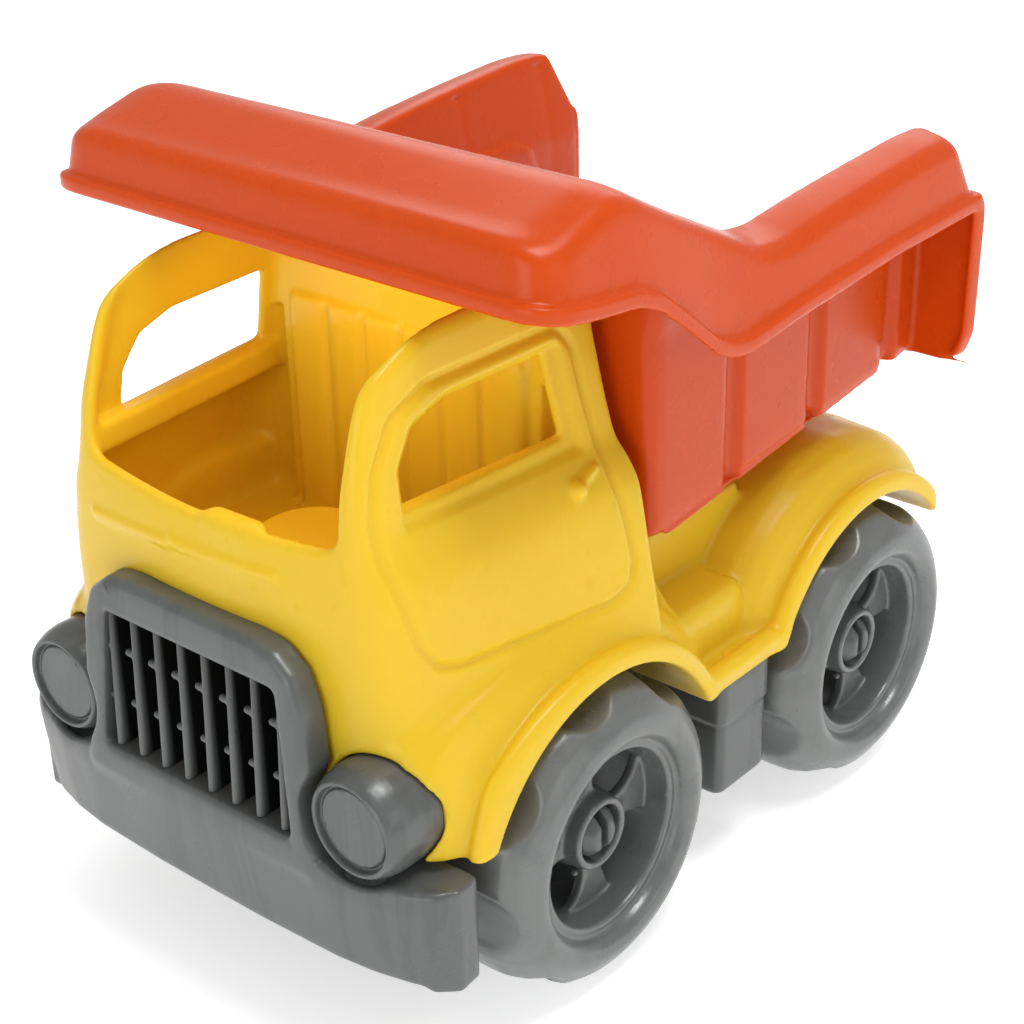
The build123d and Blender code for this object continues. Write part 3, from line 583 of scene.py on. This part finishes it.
def bed_tub(grid, outer):
    """Solid tub with upright grooves in its sides, kept inside the outer skin above the lip."""
    lip, top = bed_lines(grid.y)
    side = (grid.ax - TUB_HALF - tub_flare(grid.z)) * 0.98
    tub = both(side, BED_FRONT - grid.y, 5.0)
    tub = both(tub, (tub_underside(grid.y) - grid.z) * 0.99, 4.0)
    tub = both(tub, grid.y - (BED_REAR - 2.2), 0.6)
    tub = both(tub, grid.z - (top - 1.2), 1.0)
    relief = np.zeros((1, grid.y.shape[1], 1), np.float32)
    for place in GROOVE_PLACES:
        across = (grid.y - FRONT_AXLE - place) / GROOVE_HALF
        relief = relief + GROOVE_DEPTH * np.clip(1 - across ** 2, 0, 1) ** 0.6
    sides_only = np.clip((grid.ax - 58) / 3, 0, 1) * np.clip((grid.z - 112) / 4, 0, 1)
    skin_limit = np.where(grid.z > lip + 6.0, outer, -9.0)
    return both(tub + relief * sides_only, skin_limit)


def rear_flange(grid):
    """Flange round the tub's open rear, then the rim along its edge."""
    view = outline(grid.ax[:, :, 0], grid.z[0], [
        (TUB_HALF - 4, 121), (RAIL_HALF - 9.5, 121), (RAIL_HALF - 2.8, 124.5), (RAIL_HALF - 0.6, 131),
        (RAIL_HALF - 0.1, 166), (RAIL_HALF - 1, 171), (TUB_HALF - 4, 171)])[:, None, :]
    view = softened(grid, view, 1.4)
    flange = both(view, np.abs(grid.y - (BED_REAR - 1.1)) - 1.1, 0.8)
    rim = both(both(view, -(view + 2.0)), np.abs(grid.y - (BED_REAR - 2.6)) - 2.5, 1.0)
    return flange, both(rim, 78 - grid.ax)


def tub_room(grid):
    """The space inside the tub, with a raised pad left on each side wall."""
    ends = outline(grid.y[0], grid.z[0], [
        (BED_FRONT + 4, 100), (BED_FRONT + 4, 240), (BED_REAR + 9, 240), (BED_REAR + 9, 100)])[None]
    pad = outline(grid.y[0] - FRONT_AXLE, grid.z[0], INNER_PAD)
    pad = softened(grid, pad[None], 2.0)
    wall = TUB_INNER_HALF + tub_flare(grid.z) - PAD_DEPTH * np.clip(0.5 - pad / 1.2, 0, 1)
    room = both(grid.ax - wall, tub_underside(grid.y) + BED_WALL - grid.z, 6.0)
    return both(room, ends, 3.0)


def dump_bed():
    """Orange moulding: rails and canopy with a beaded lip, grooved tub and rear flange."""
    grid = Grid(BED_LOW, BED_HIGH, BED_PITCH)
    skirt, outer = bed_skirt(grid)
    solid = either(skirt, bed_tub(grid, outer), 2.0)
    flange, rim = rear_flange(grid)
    solid = either(either(solid, flange, 1.5), rim, 1.0)
    solid = without(solid, tub_room(grid), 1.6)
    floor = tub_underside(grid.y) + BED_WALL
    under_parts = both(grid.of_mesh(*triangles_of("dump_bed")), grid.z - (floor - 1.5))
    solid = either(solid, under_parts, 0.8)
    return grid.mesh(blurred(solid, 1), "dump_bed_moulding")


# ---------------------------------------------------------------- cab shell

CAB_PITCH = 0.62
CAB_WALL = 3.0
ARCH_R = 47.0
INNER_HALF = 41.4         # half width of the hollow between the wheels
FENDER_HALF = CAB_HIGH[0]
FENDER_R = 62.0
FENDER_RISE = 15.0        # height in the fender's section from the wheel arch to its outline
SECTION_SHIFT = 20.0      # where the wheel arch lies in that section
SHELL_Z0 = CAB_LOW[2]
SEAT_BACK_Y = CAB_REAR - 17.0
CAB_FLOOR_Z = 97.0
SILL_Z = 138.5
BOARD_FRONT = FRONT_AXLE + ARCH_R - 8
BOARD_REAR = REAR_AXLE - ARCH_R + 6
LAMP_X = middle("headlight_left", 0)
LAMP_Z = middle("headlight_left", 2)
FLUTES = 5
FLUTE_STEP = 13.5

# Side views: (distance behind the front axle, height)
DOOR = [(-51.6, 136.5), (-50, 128), (-47.4, 115), (-43, 108), (-36, 105.2), (12, 103.2), (19, 105.4),
        (21.2, 112), (20.6, 122), (18.8, 133), (20.2, 143), (18.6, 166), (14, 171.6), (-30, 171.6),
        (-42, 166.5), (-49, 156), (-51.4, 146)]
WINDOW = [(-41.5, 144.3), (10.8, 145.2), (9.2, 166), (-24, 166), (-35, 162.5), (-40.6, 154.5)]
WINDOW_RECESS = [(-42.8, 140.6), (14.6, 141.2), (13.2, 168), (-24.5, 167.6), (-36.2, 164), (-42.4, 155)]

# The cab's front and half widths: (height, distance)
NOSE = [(60, -58.2), (107, -58.4), (126, -58.0), (138.5, -57.0), (151, -55.8), (168, -51.2), (177, -47.2),
        (190, -40.6)]
NOSE_BOW = [(60, 3.4), (120, 3.6), (130, 3.2), (139, 1.4), (150, 0)]
NOSE_CORNER = [(60, 9), (124, 9), (142, 6), (186, 5)]
FRONT_HALF = [(62, 58), (107, 57.5), (120, 56.6), (128, 55), (135, 51.8), (142, 49.8), (167, 46.8), (186, 45)]
REAR_HALF = [(62, 73), (93, 72.6), (112, 68.9), (125, 66.6), (131, 65.2), (136, 62.2), (141, 57.6),
             (150, 54.8), (166, 50.8), (186, 47)]

# The cab's roof: (place along the truck, height)
ROOF = [(-110, 176), (-97, 176.5), (-90, 178.8), (-81, 183), (-70, 184.9), (-18, 185)]

# A fender's section for a shell 77 mm from the middle: (distance from the middle, height)
FENDER_SECTION = [(30, -5), (30, 35), (54, 35), (60, 34.3), (65, 32.0), (68.6, 28.8), (70.8, 25.6),
                  (71.8, 25.0), (73.6, 25.9), (75.4, 25.4), (76.6, 24.2), (77, 22.4), (77, -5)]

# Small ridges low on the nose: (across, height) of both ends
NOSE_RIDGES = (((-41, 123.4), (-13, 125.2)), ((-8, 125.8), (25, 127.2)), ((-11.5, 125), (-9.5, 126.6)))


def cab_share(y, low):
    """Place along the cab, from its front at 0 to its rear at 1."""
    return np.clip((y - CAB_FRONT) / (CAB_REAR - CAB_FRONT), low, 1.0)


def nose_line(z):
    """Place along the truck of the cab's front at its sides."""
    return curve(NOSE, z, 3) + FRONT_AXLE


def nose_bow(x, z):
    """How far the nose bulges forward in the middle."""
    return curve(NOSE_BOW, z, 3) * (1 - (x / 46.0) ** 2)


def cab_skin(grid, relief):
    """Outer skin of the cab as a solid; relief sinks its sides."""
    front_half = curve(FRONT_HALF, grid.z, 2.5)
    rear_half = curve(REAR_HALF, grid.z, 1.8)
    half = front_half + (rear_half - front_half) * cab_share(grid.y, -0.1)
    slope = np.gradient(half, grid.pitch, axis=2)
    side = (grid.ax - half) / np.sqrt(1 + slope ** 2) + relief
    front = (nose_line(grid.z) - nose_bow(grid.x, grid.z) - grid.y) * 0.98
    skin = both(side, front, curve(NOSE_CORNER, grid.z, 2))
    return both(skin, grid.y - CAB_REAR, 2.5)


def side_relief(grid):
    """Depth of the door's groove and the window's recess over the cab's side."""
    y = grid.y[0] - FRONT_AXLE
    z = grid.z[0]
    door = softened(grid, outline(y, z, DOOR)[None], 1.6)
    groove = 1.3 * np.clip(1.25 - np.abs(door) / 1.2, 0, 1) - 0.5 * np.clip(0.5 - door / 1.2, 0, 1)
    recess = softened(grid, outline(y, z, WINDOW_RECESS)[None], 1.0)
    return (groove + 1.3 * np.clip(0.5 - recess / 1.0, 0, 1)).astype(np.float32)


def arc(y, z, radius, start, end, count):
    """Points on a circle from one angle to another, in degrees from +Y towards +Z."""
    angles = [math.radians(start + (end - start) * i / (count - 1)) for i in range(count)]
    return [(y + radius * math.cos(a), z + radius * math.sin(a)) for a in angles]


def fender(grid, axle_y, shape):
    """Crowned fender over one wheel, both sides; shape is its side view."""
    radius = np.sqrt((grid.y[0] - axle_y) ** 2 + (grid.z[0] - AXLE_Z) ** 2)
    edge = softened(grid, outline(grid.y[0], grid.z[0], shape)[None], 2.5)[0]
    above_arch = radius - ARCH_R
    inside = FENDER_RISE * above_arch / np.maximum(above_arch - edge, 1.0)
    height = np.where(edge < 0, inside, FENDER_RISE + edge)
    height = np.where(above_arch < 0, above_arch, height)
    reach = np.clip(height + SECTION_SHIFT, 0, 60).astype(np.float32)
    section = [(a * FENDER_HALF / 77.0, b) for a, b in FENDER_SECTION]
    spots = np.arange(0, 62, TABLE_STEP, dtype=np.float32)
    table = outline(grid.ax[:, 0, 0][:, None], spots[None, :], section)
    return looked_up(blurred(table, 2, (1,)), reach)


def fenders(grid):
    """Front and rear fenders, joined where they meet."""
    front_view = ([(FRONT_AXLE + 64, 20)] + arc(FRONT_AXLE, AXLE_Z, FENDER_R, 10, 95, 14)
                  + [(FRONT_AXLE - 22, 102.8), (FRONT_AXLE - 36, 99.6), (FRONT_AXLE - 48, 96),
                     (FRONT_AXLE - 56, 90.5), (FRONT_AXLE - 59.8, 82), (FRONT_AXLE - 60.4, 20)])
    rear_view = ([(REAR_AXLE + 64, 20)] + arc(REAR_AXLE, AXLE_Z, FENDER_R, 10, 170, 24)
                 + [(REAR_AXLE - 64, 20)])
    front = both(fender(grid, FRONT_AXLE, front_view), CAB_FRONT - 3.2 - grid.y, 6.0)
    front = both(front, grid.y - (FRONT_AXLE + ARCH_R + 6))
    rear = both(fender(grid, REAR_AXLE, rear_view), grid.y - (REAR_AXLE + 38.4), 3.0)
    rear = both(rear, REAR_AXLE - ARCH_R - 8 - grid.y)
    return both(either(front, rear, 3.0), INNER_HALF - grid.ax)


def running_board(grid):
    """Board between the wheels with a rounded lip along its edge."""
    board = slab(grid, y=(BOARD_FRONT, BOARD_REAR), z=(SHELL_Z0 - 4, SHELL_Z0 + 4.6))
    board = both(board, grid.ax - FENDER_HALF + 0.6)
    board = both(board, INNER_HALF - grid.ax)
    across = FENDER_HALF - 3.0
    height = SHELL_Z0 + 4.4
    lip = capsule(grid, (across, BOARD_FRONT + 3, height), (across, BOARD_REAR - 3, height), 2.8, True)
    return either(board, lip, 1.5)


def deck_supports(grid):
    """Block and fin behind the cab, and the low wall under the deck's side."""
    block = slab(grid, y=(CAB_REAR - 6, BOARD_REAR - 7), z=(SHELL_Z0, SHELL_Z0 + 21.4), soft=6.0)
    block = both(block, np.abs(grid.ax - 52.5) - 14.5, 6.0)
    fin = outline(grid.ax[:, :, 0], grid.z[0], [(48, 80), (66, 80), (50, 101), (48, 101)])[:, None, :]
    fin = both(fin, np.abs(grid.y - (CAB_REAR + 16)) - 1.2, 1.0)
    wall = both(np.abs(grid.ax - 49.0) - 2.0, grid.z - 101.0, 1.5)
    wall = both(wall, np.abs(grid.y - (CAB_REAR + 40)) - 24.0, 2.0)
    return either(either(block, fin, 1.5), wall, 2.0)


def cab_room(grid):
    """The space inside the cab, less the arch covers, sills, rear wall and fluted seat back."""
    room = cab_skin(grid, 0.0) + CAB_WALL
    room = both(room, grid.y - (SEAT_BACK_Y + 8.0), 12.0)
    room = both(room, CAB_FLOOR_Z - grid.z, 6.0)
    arch = np.sqrt((grid.y - FRONT_AXLE) ** 2 + (grid.z - AXLE_Z) ** 2) - 69.5
    room = without(room, both(arch, 58.0 - grid.ax, 3.0), 4.0)
    ledge = both(42.6 + 7.8 * cab_share(grid.y, 0.0) - grid.ax, np.abs(grid.z - 140.0) - 4.2, 2.0)
    room = without(room, ledge, 2.0)
    rear_wall = both(SEAT_BACK_Y + 2.2 - grid.y, np.minimum(grid.ax - 45.0, 156.0 - grid.z))
    room = without(room, rear_wall, 2.5)
    panel = softened(grid, front_view_of(grid, (40.5, 60), (40.5, 161)), 2.5)
    places = [FLUTE_STEP * (index - FLUTES // 2) for index in range(FLUTES)]
    flutes = sum(1.4 * np.clip(1.3 - np.abs(grid.x - place) / 1.1, 0, 1) for place in places)
    panel = both(panel, SEAT_BACK_Y + flutes - grid.y, 1.6)
    return without(room, panel, 2.0)


def cab_openings(grid, body):
    """Cuts the windscreen, side windows, wheel arches and the hollow underneath."""
    sill = SILL_Z - 3.0 * (1 - (grid.x / 45.0) ** 2)
    windscreen = both(both(np.abs(grid.x) - 42.6, sill - grid.z, 5.0), grid.y - (CAB_FRONT + 40))
    body = without(body, windscreen, 1.8)
    window = softened(grid, outline(grid.y[0] - FRONT_AXLE, grid.z[0], WINDOW)[None], 1.2)
    body = without(body, both(window, 30.0 - grid.ax), 1.0)
    arches = np.minimum((grid.y - FRONT_AXLE) ** 2, (grid.y - REAR_AXLE) ** 2) + (grid.z - AXLE_Z) ** 2
    body = without(body, both(np.sqrt(arches) - ARCH_R, 44.0 - grid.ax), 0.8)
    across = (-INNER_HALF, INNER_HALF)
    hollow = slab(grid, x=across, y=(CAB_FRONT + 6, REAR_AXLE + 29.4), z=(0, 89.4))
    hollow = either(hollow, slab(grid, x=across, y=(CAB_FRONT + 6, CAB_REAR), z=(0, 94.4)))
    body = without(body, hollow, 0.6)
    return both(body, SHELL_Z0 - grid.z, 1.0)


def front_seats(grid, body):
    """Cuts the openings behind the grille and the headlights."""
    opening = front_view_of(grid, (35.5, 61.9), (31.5, 104))
    body = without(body, both(opening, grid.y - (CAB_FRONT + 7)))
    lamps = np.sqrt((grid.ax - LAMP_X) ** 2 + (grid.z - LAMP_Z) ** 2) - 15.1
    return without(body, both(lamps, grid.y - (CAB_FRONT + 6.2)), 0.8)


def on_nose(x, z):
    """A point just inside the cab's front skin."""
    height = np.array([float(z)])
    place = float(nose_line(height)[0] - nose_bow(x, height)[0])
    return (x, place + 0.5, z)


def cab_details(grid, body):
    """Adds the ridges and badge on the nose and the handles below the side windows."""
    for start, end in NOSE_RIDGES:
        body = either(body, capsule(grid, on_nose(*start), on_nose(*end), 1.5), 1.2)
    y = FRONT_AXLE
    body = either(body, capsule(grid, (58.0, y + 7.2, 134.6), (61.6, y + 7.2, 134.6), 2.3, True), 0.6)
    body = either(body, capsule(grid, (61.2, y + 8.0, 135.2), (60.4, y + 15.0, 137.4), 1.2, True), 0.6)
    badge = capsule(grid, (3, CAB_FRONT + 0.6, 133.6), (15, CAB_FRONT + 1.0, 133.6), 3.2)
    return either(body, badge, 3.0)


def cab_shell():
    """Yellow moulding: open cab with doors, fenders, running boards and the deck under the bed."""
    grid = Grid(CAB_LOW, CAB_HIGH, CAB_PITCH)
    cab = both(cab_skin(grid, side_relief(grid)), grid.z - curve(ROOF, grid.y, 4), 5.0)
    wings = either(fenders(grid), running_board(grid), 2.0)
    wings = either(wings, deck_supports(grid), 2.4)
    body = either(cab, wings, 2.4)
    body = without(body, cab_room(grid), 1.4)
    body = cab_openings(grid, body)
    cad = grid.of_mesh(*triangles_of("cab_shell"))
    deck = both(cad, grid.ax - 47.0)
    deck = both(deck, CAB_REAR - 1.0 - grid.y)
    body = either(body, deck, 1.5)
    bosses = both(both(cad, grid.ax - 40.0), grid.z - CAB_FLOOR_Z + 2.0)
    body = either(body, both(bosses, CAB_FRONT + 8 - grid.y))
    body = front_seats(grid, body)
    body = cab_details(grid, body)
    return grid.mesh(blurred(body, 1), "cab_shell_moulding")


# ---------------------------------------------------------------- wheels

WHEEL_PITCH = 0.55
REAR_TURN = 12.0          # degrees the rear wheels have rolled from the front ones
SCOOPS = 8
SCOOP_TURN = 8.0
SCOOP_OUT = 53.6          # distance of a scoop's centre from the axle
SCOOP_RADIUS = 15.8
SCOOP_INNER_X = 57.0      # how far in towards the truck a scoop reaches
WEB_RADIUS = 25.5
WEB_X = 68.0
WEB_HALF = 1.5
HOLE_OUT = 17.8
HOLE_RADIUS = 9.4
HOLE_ANGLES = (48.0, -130.0)
SLOT_INNER = 13.2
SLOT_HALF_ANGLE = 27.0
SLOT_ANGLES = (-42.0, 138.0)
PIP_OUT = 12.4
PIP_ANGLES = (112.0, 5.0, -118.0)

# Wheel profiles: (distance from the truck's middle, radius)
TYRE = [(47.5, 24.3), (47.5, 38), (50, 41.6), (54.5, 43), (65, 43), (70, 42.6), (74.6, 41), (78.4, 38),
        (80.8, 34.4), (81.5, 31.8), (81, 29.4), (79.2, 27.9), (77.2, 27.4), (77.0, 26.6), (77.7, 25.9),
        (77.5, 24.5), (76.6, 24.3)]
TYRE_HOLLOW = [(40, 26.9), (40, 40.4), (51, 40.4), (54, 35.4), (69, 33.6), (71.5, 31), (71.5, 26.9)]
HUB = [(47.5, 0), (47.5, 11), (66, 11), (70.5, 10.4), (74.3, 9.9), (74.3, 0)]
BORE = [(40, 0), (40, 6.05), (66.5, 6.05), (66.5, 7.9), (80, 7.9), (80, 0)]


def tyre_scoops(grid, radial, angle):
    """Thumb scoops round the tyre's outer shoulder."""
    sector = 360.0 / SCOOPS
    near = np.radians((angle - SCOOP_TURN + sector / 2) % sector - sector / 2)
    off = radial * np.sin(near)
    out = radial * np.cos(near)
    scoop = np.sqrt(off ** 2 + (out - SCOOP_OUT) ** 2) - SCOOP_RADIUS
    return both(scoop, SCOOP_INNER_X - grid.ax, 5.0)


def wheel_web(grid, radial, angle):
    """Web across the well with two round holes and two sector openings."""
    web = both(radial - WEB_RADIUS, np.abs(grid.ax - WEB_X) - WEB_HALF)
    for centre in HOLE_ANGLES:
        turned = np.cos(np.radians(angle - centre))
        hole = np.sqrt(radial ** 2 + HOLE_OUT ** 2 - 2 * radial * HOLE_OUT * turned) - HOLE_RADIUS
        web = without(web, hole, 0.5)
    for centre in SLOT_ANGLES:
        swing = np.abs((angle - centre + 180) % 360 - 180)
        edge = radial * np.sin(np.radians(np.minimum(swing - SLOT_HALF_ANGLE, 90)))
        slot = both(both(SLOT_INNER - radial, edge, 1.5), radial - 30)
        web = without(web, slot, 0.5)
    return web


def wheel(node, turn):
    """Fat hollow tyre with thumb scoops, a deep well, web spokes and a hub collar."""
    low, high = limits(node)
    grid = Grid(low, high, WHEEL_PITCH)
    y = (low[1] + high[1]) / 2
    radius = np.sqrt((grid.y[0] - y) ** 2 + (grid.z[0] - AXLE_Z) ** 2)
    angle = np.degrees(np.arctan2(grid.z - AXLE_Z, grid.y - y)) - turn
    radial = radius[None]
    x = grid.ax[:, 0, 0]
    body = without(lathed(x, radius, TYRE, 0.7), lathed(x, radius, TYRE_HOLLOW, 0.4))
    body = without(body, tyre_scoops(grid, radial, angle), 0.9)
    body = either(body, wheel_web(grid, radial, angle), 0.8)
    body = either(body, lathed(x, radius, HUB, 0.35), 1.0)
    body = without(body, lathed(x, radius, BORE, 0.2), 0.4)
    side = 1 if low[0] > 0 else -1
    for centre in PIP_ANGLES:
        a = math.radians(centre + turn)
        spot = (side * 69.6, y + PIP_OUT * math.cos(a), AXLE_Z + PIP_OUT * math.sin(a))
        body = either(body, capsule(grid, spot, spot, 1.1), 0.5)
    return grid.mesh(blurred(body, 1), node + "_moulding")


# ---------------------------------------------------------------- front

FASCIA_PITCH = 0.6
BUMPER_HEIGHT = 29.5
LEAN = 0.045              # how much the grille leans back for each millimetre up
GRILLE_PITCH = 0.45
GRILLE_HALF = 34.5
SLATS = 8
SLAT_HALF = 1.15
STUB_HEIGHTS = (14.0, 29.0)
LAMP_PITCH = 0.36
BOX_PITCH = 0.5
LID_Z = 47.4              # height of the step box lid's lower edge

# Grille surround seen from the front: (distance from the middle, height), up its left side
SURROUND = [(41, 76), (39.4, 98), (36.2, 107.2), (30, 112), (22, 113.5)]

# Headlight profile: (distance behind its face, radius)
LAMP = [(1.2, 0), (1.2, 10.2), (2.0, 10.5), (2.0, 11.1), (0.2, 11.5), (0.0, 12.0), (0.2, 12.6), (1.6, 13.4),
        (4.0, 14.3), (7.0, 14.8), (17.1, 14.8), (17.1, 0)]


def bumper(grid):
    """Bumper with wrapped ends and a pocket behind its face."""
    low = FASCIA_LOW[2]
    top = low + BUMPER_HEIGHT
    back = FASCIA_HIGH[1]
    half = FASCIA_HIGH[0]
    plan = outline(grid.ax[:, :, 0], grid.y[:, :, 0], [
        (-5, FRONT), (20, FRONT + 0.1), (half - 32, FRONT + 1.0), (half - 20, FRONT + 2.6),
        (half - 9, FRONT + 5.4), (half - 2.6, FRONT + 9.4), (half, FRONT + 14.5), (half - 0.6, back),
        (-5, back)])[:, :, None]
    plan = softened(grid, plan, 1.6)
    tuck = plan + 0.11 * np.clip(top - 6 - grid.z, 0, 40)
    body = both(tuck, np.abs(grid.z - (low + top) / 2) - (top - low) / 2, 2.4)
    pocket = both(tuck + 2.8, grid.z - (top - 2.8))
    return without(body, both(pocket, FRONT + 3.0 - grid.y), 0.6)


def grille_surround(grid):
    """Leaning block that frames the grille."""
    top = FASCIA_LOW[2] + BUMPER_HEIGHT
    mirrored = [(-across, height) for across, height in reversed(SURROUND)]
    view = outline(grid.x[:, :, 0], grid.z[0],
                   [(-41.6, top - 6), (41.6, top - 6)] + SURROUND + mirrored)[:, None, :]
    view = softened(grid, view, 1.5)
    block = both(view, FRONT + LEAN * (grid.z - top) - grid.y, 3.2)
    return both(block, grid.y - (CAB_FRONT - 3.6))


def front_fascia():
    """Bumper and framed grille opening, in one moulding."""
    grid = Grid(FASCIA_LOW, FASCIA_HIGH, FASCIA_PITCH)
    body = either(bumper(grid), grille_surround(grid), 1.0)
    hole = softened(grid, front_view_of(grid, (34.3, 63.1), (30.4, 102.8)), 1.6) + 0.05
    body = without(body, hole, 1.2)
    seats = np.sqrt((grid.ax - LAMP_X) ** 2 + (grid.z - LAMP_Z) ** 2) - 15.6
    body = without(body, seats, 1.4)
    cad = grid.of_mesh(*triangles_of("front_fascia"))
    body = either(body, both(cad, FRONT + 9.0 - grid.y))
    return grid.mesh(blurred(body, 1), "front_fascia_moulding")


def grille_insert():
    """Deep slats with short rod stubs on their sides."""
    low, high = limits("grille_insert")
    grid = Grid(low, high, GRILLE_PITCH)
    face = low[1] + 0.6 + LEAN * (grid.z - low[2])
    spacing = 2 * GRILLE_HALF / SLATS
    body = None
    for index in range(SLATS):
        place = -GRILLE_HALF + spacing * (index + 0.5)
        slat = both(np.abs(grid.x - place) - SLAT_HALF, face - grid.y, 1.6)
        body = slat if body is None else either(body, slat)
        for height in STUB_HEIGHTS:
            start = (place - 2.6, low[1] + 3.0, low[2] + height)
            stub = capsule(grid, start, (place, low[1] + 3.0, low[2] + height), 1.1)
            body = either(body, stub, 0.4)
    hole = front_view_of(grid, (34.3, 63.1), (30.3, 102.8))
    body = both(both(body, hole), grid.y - high[1])
    return grid.mesh(body, "grille_insert_moulding")


def headlight(node):
    """Barrel with a rounded shoulder, a raised rim and a flat lens."""
    low, high = limits(node)
    grid = Grid(low, high, LAMP_PITCH)
    x = (low[0] + high[0]) / 2
    z = (low[2] + high[2]) / 2
    radius = np.sqrt((grid.x[:, :, 0] - x) ** 2 + (grid.z[0] - z) ** 2)
    lamp = lathed(grid.y[0, :, 0] - low[1], radius, LAMP, 0.15)
    body = np.transpose(lamp, (1, 0, 2))
    return grid.mesh(np.ascontiguousarray(body), node + "_moulding")


def step_box(node):
    """Box under the running board with a slightly larger lid."""
    low, high = limits(node)
    grid = Grid(low, high, BOX_PITCH)
    across = np.abs(grid.x - (low[0] + high[0]) / 2) - (high[0] - low[0]) / 2
    along = np.abs(grid.y - (low[1] + high[1]) / 2) - (high[1] - low[1]) / 2
    height = np.abs(grid.z - (low[2] + high[2]) / 2) - (high[2] - low[2]) / 2
    plan = both(across, along, 3.4) + 0.45 * np.clip((LID_Z - grid.z) / 0.8 + 0.5, 0, 1)
    plan = plan + 0.5 * np.clip(1.2 - np.abs(grid.z - LID_Z) / 0.6, 0, 1)
    return grid.mesh(blurred(both(plan, height, 2.6), 1), node + "_moulding")


# ---------------------------------------------------------------- the truck

place_camera()
studio()
bpy.context.scene.view_settings.view_transform = "Standard"
MATERIALS = all_materials()

PIECES = [
    (dump_bed, "dump_bed", "orange_plastic"),
    (cab_shell, "cab_shell", "yellow_plastic"),
    (front_fascia, "front_fascia", "grey_plastic"),
    (grille_insert, "grille_insert", "grey_plastic"),
]
for make, node, slot in PIECES:
    dress(make(), node, slot)
# The grille's slats get painted shade that darkens them towards their backs.
grille = bpy.data.objects["grille_insert_moulding"]
grille.data.materials[0] = paint_shade_inwards(grey_plastic("grille_painted_shade_plastic"), limits("grille_insert")[0][1])
for side in ("left", "right"):
    dress(headlight(f"headlight_{side}"), f"headlight_{side}", "grey_plastic")
    dress(step_box(f"step_box_{side}"), f"step_box_{side}", "grey_plastic")
    for end, turn in (("front", 0.0), ("rear", REAR_TURN)):
        dress(wheel(f"wheel_{end}_{side}", turn), f"wheel_{end}_{side}", "grey_wheel_plastic")
ROUNDED = [
    ("chassis", "grey_plastic", PITCH),
    ("seat", "yellow_plastic", FINE_PITCH),
    ("front_axle", "grey_plastic", AXLE_PITCH),
    ("rear_axle", "grey_plastic", AXLE_PITCH),
]
for node, slot, pitch in ROUNDED:
    dress(moulded(node, pitch), node, slot)

KEPT = {
    "hinge_pin_left": "dark_grey_plastic", "hinge_pin_right": "dark_grey_plastic",
    "body_screws": "screw_steel", "fascia_screws": "screw_steel",
    "wheel_back_front_left": "dark_grey_plastic", "wheel_back_front_right": "dark_grey_plastic",
    "wheel_back_rear_left": "dark_grey_plastic", "wheel_back_rear_right": "dark_grey_plastic",
}
for node, slot in KEPT.items():
    data = frame["nodes"][node].data
    data.materials.clear()
    data.materials.append(MATERIALS[slot])
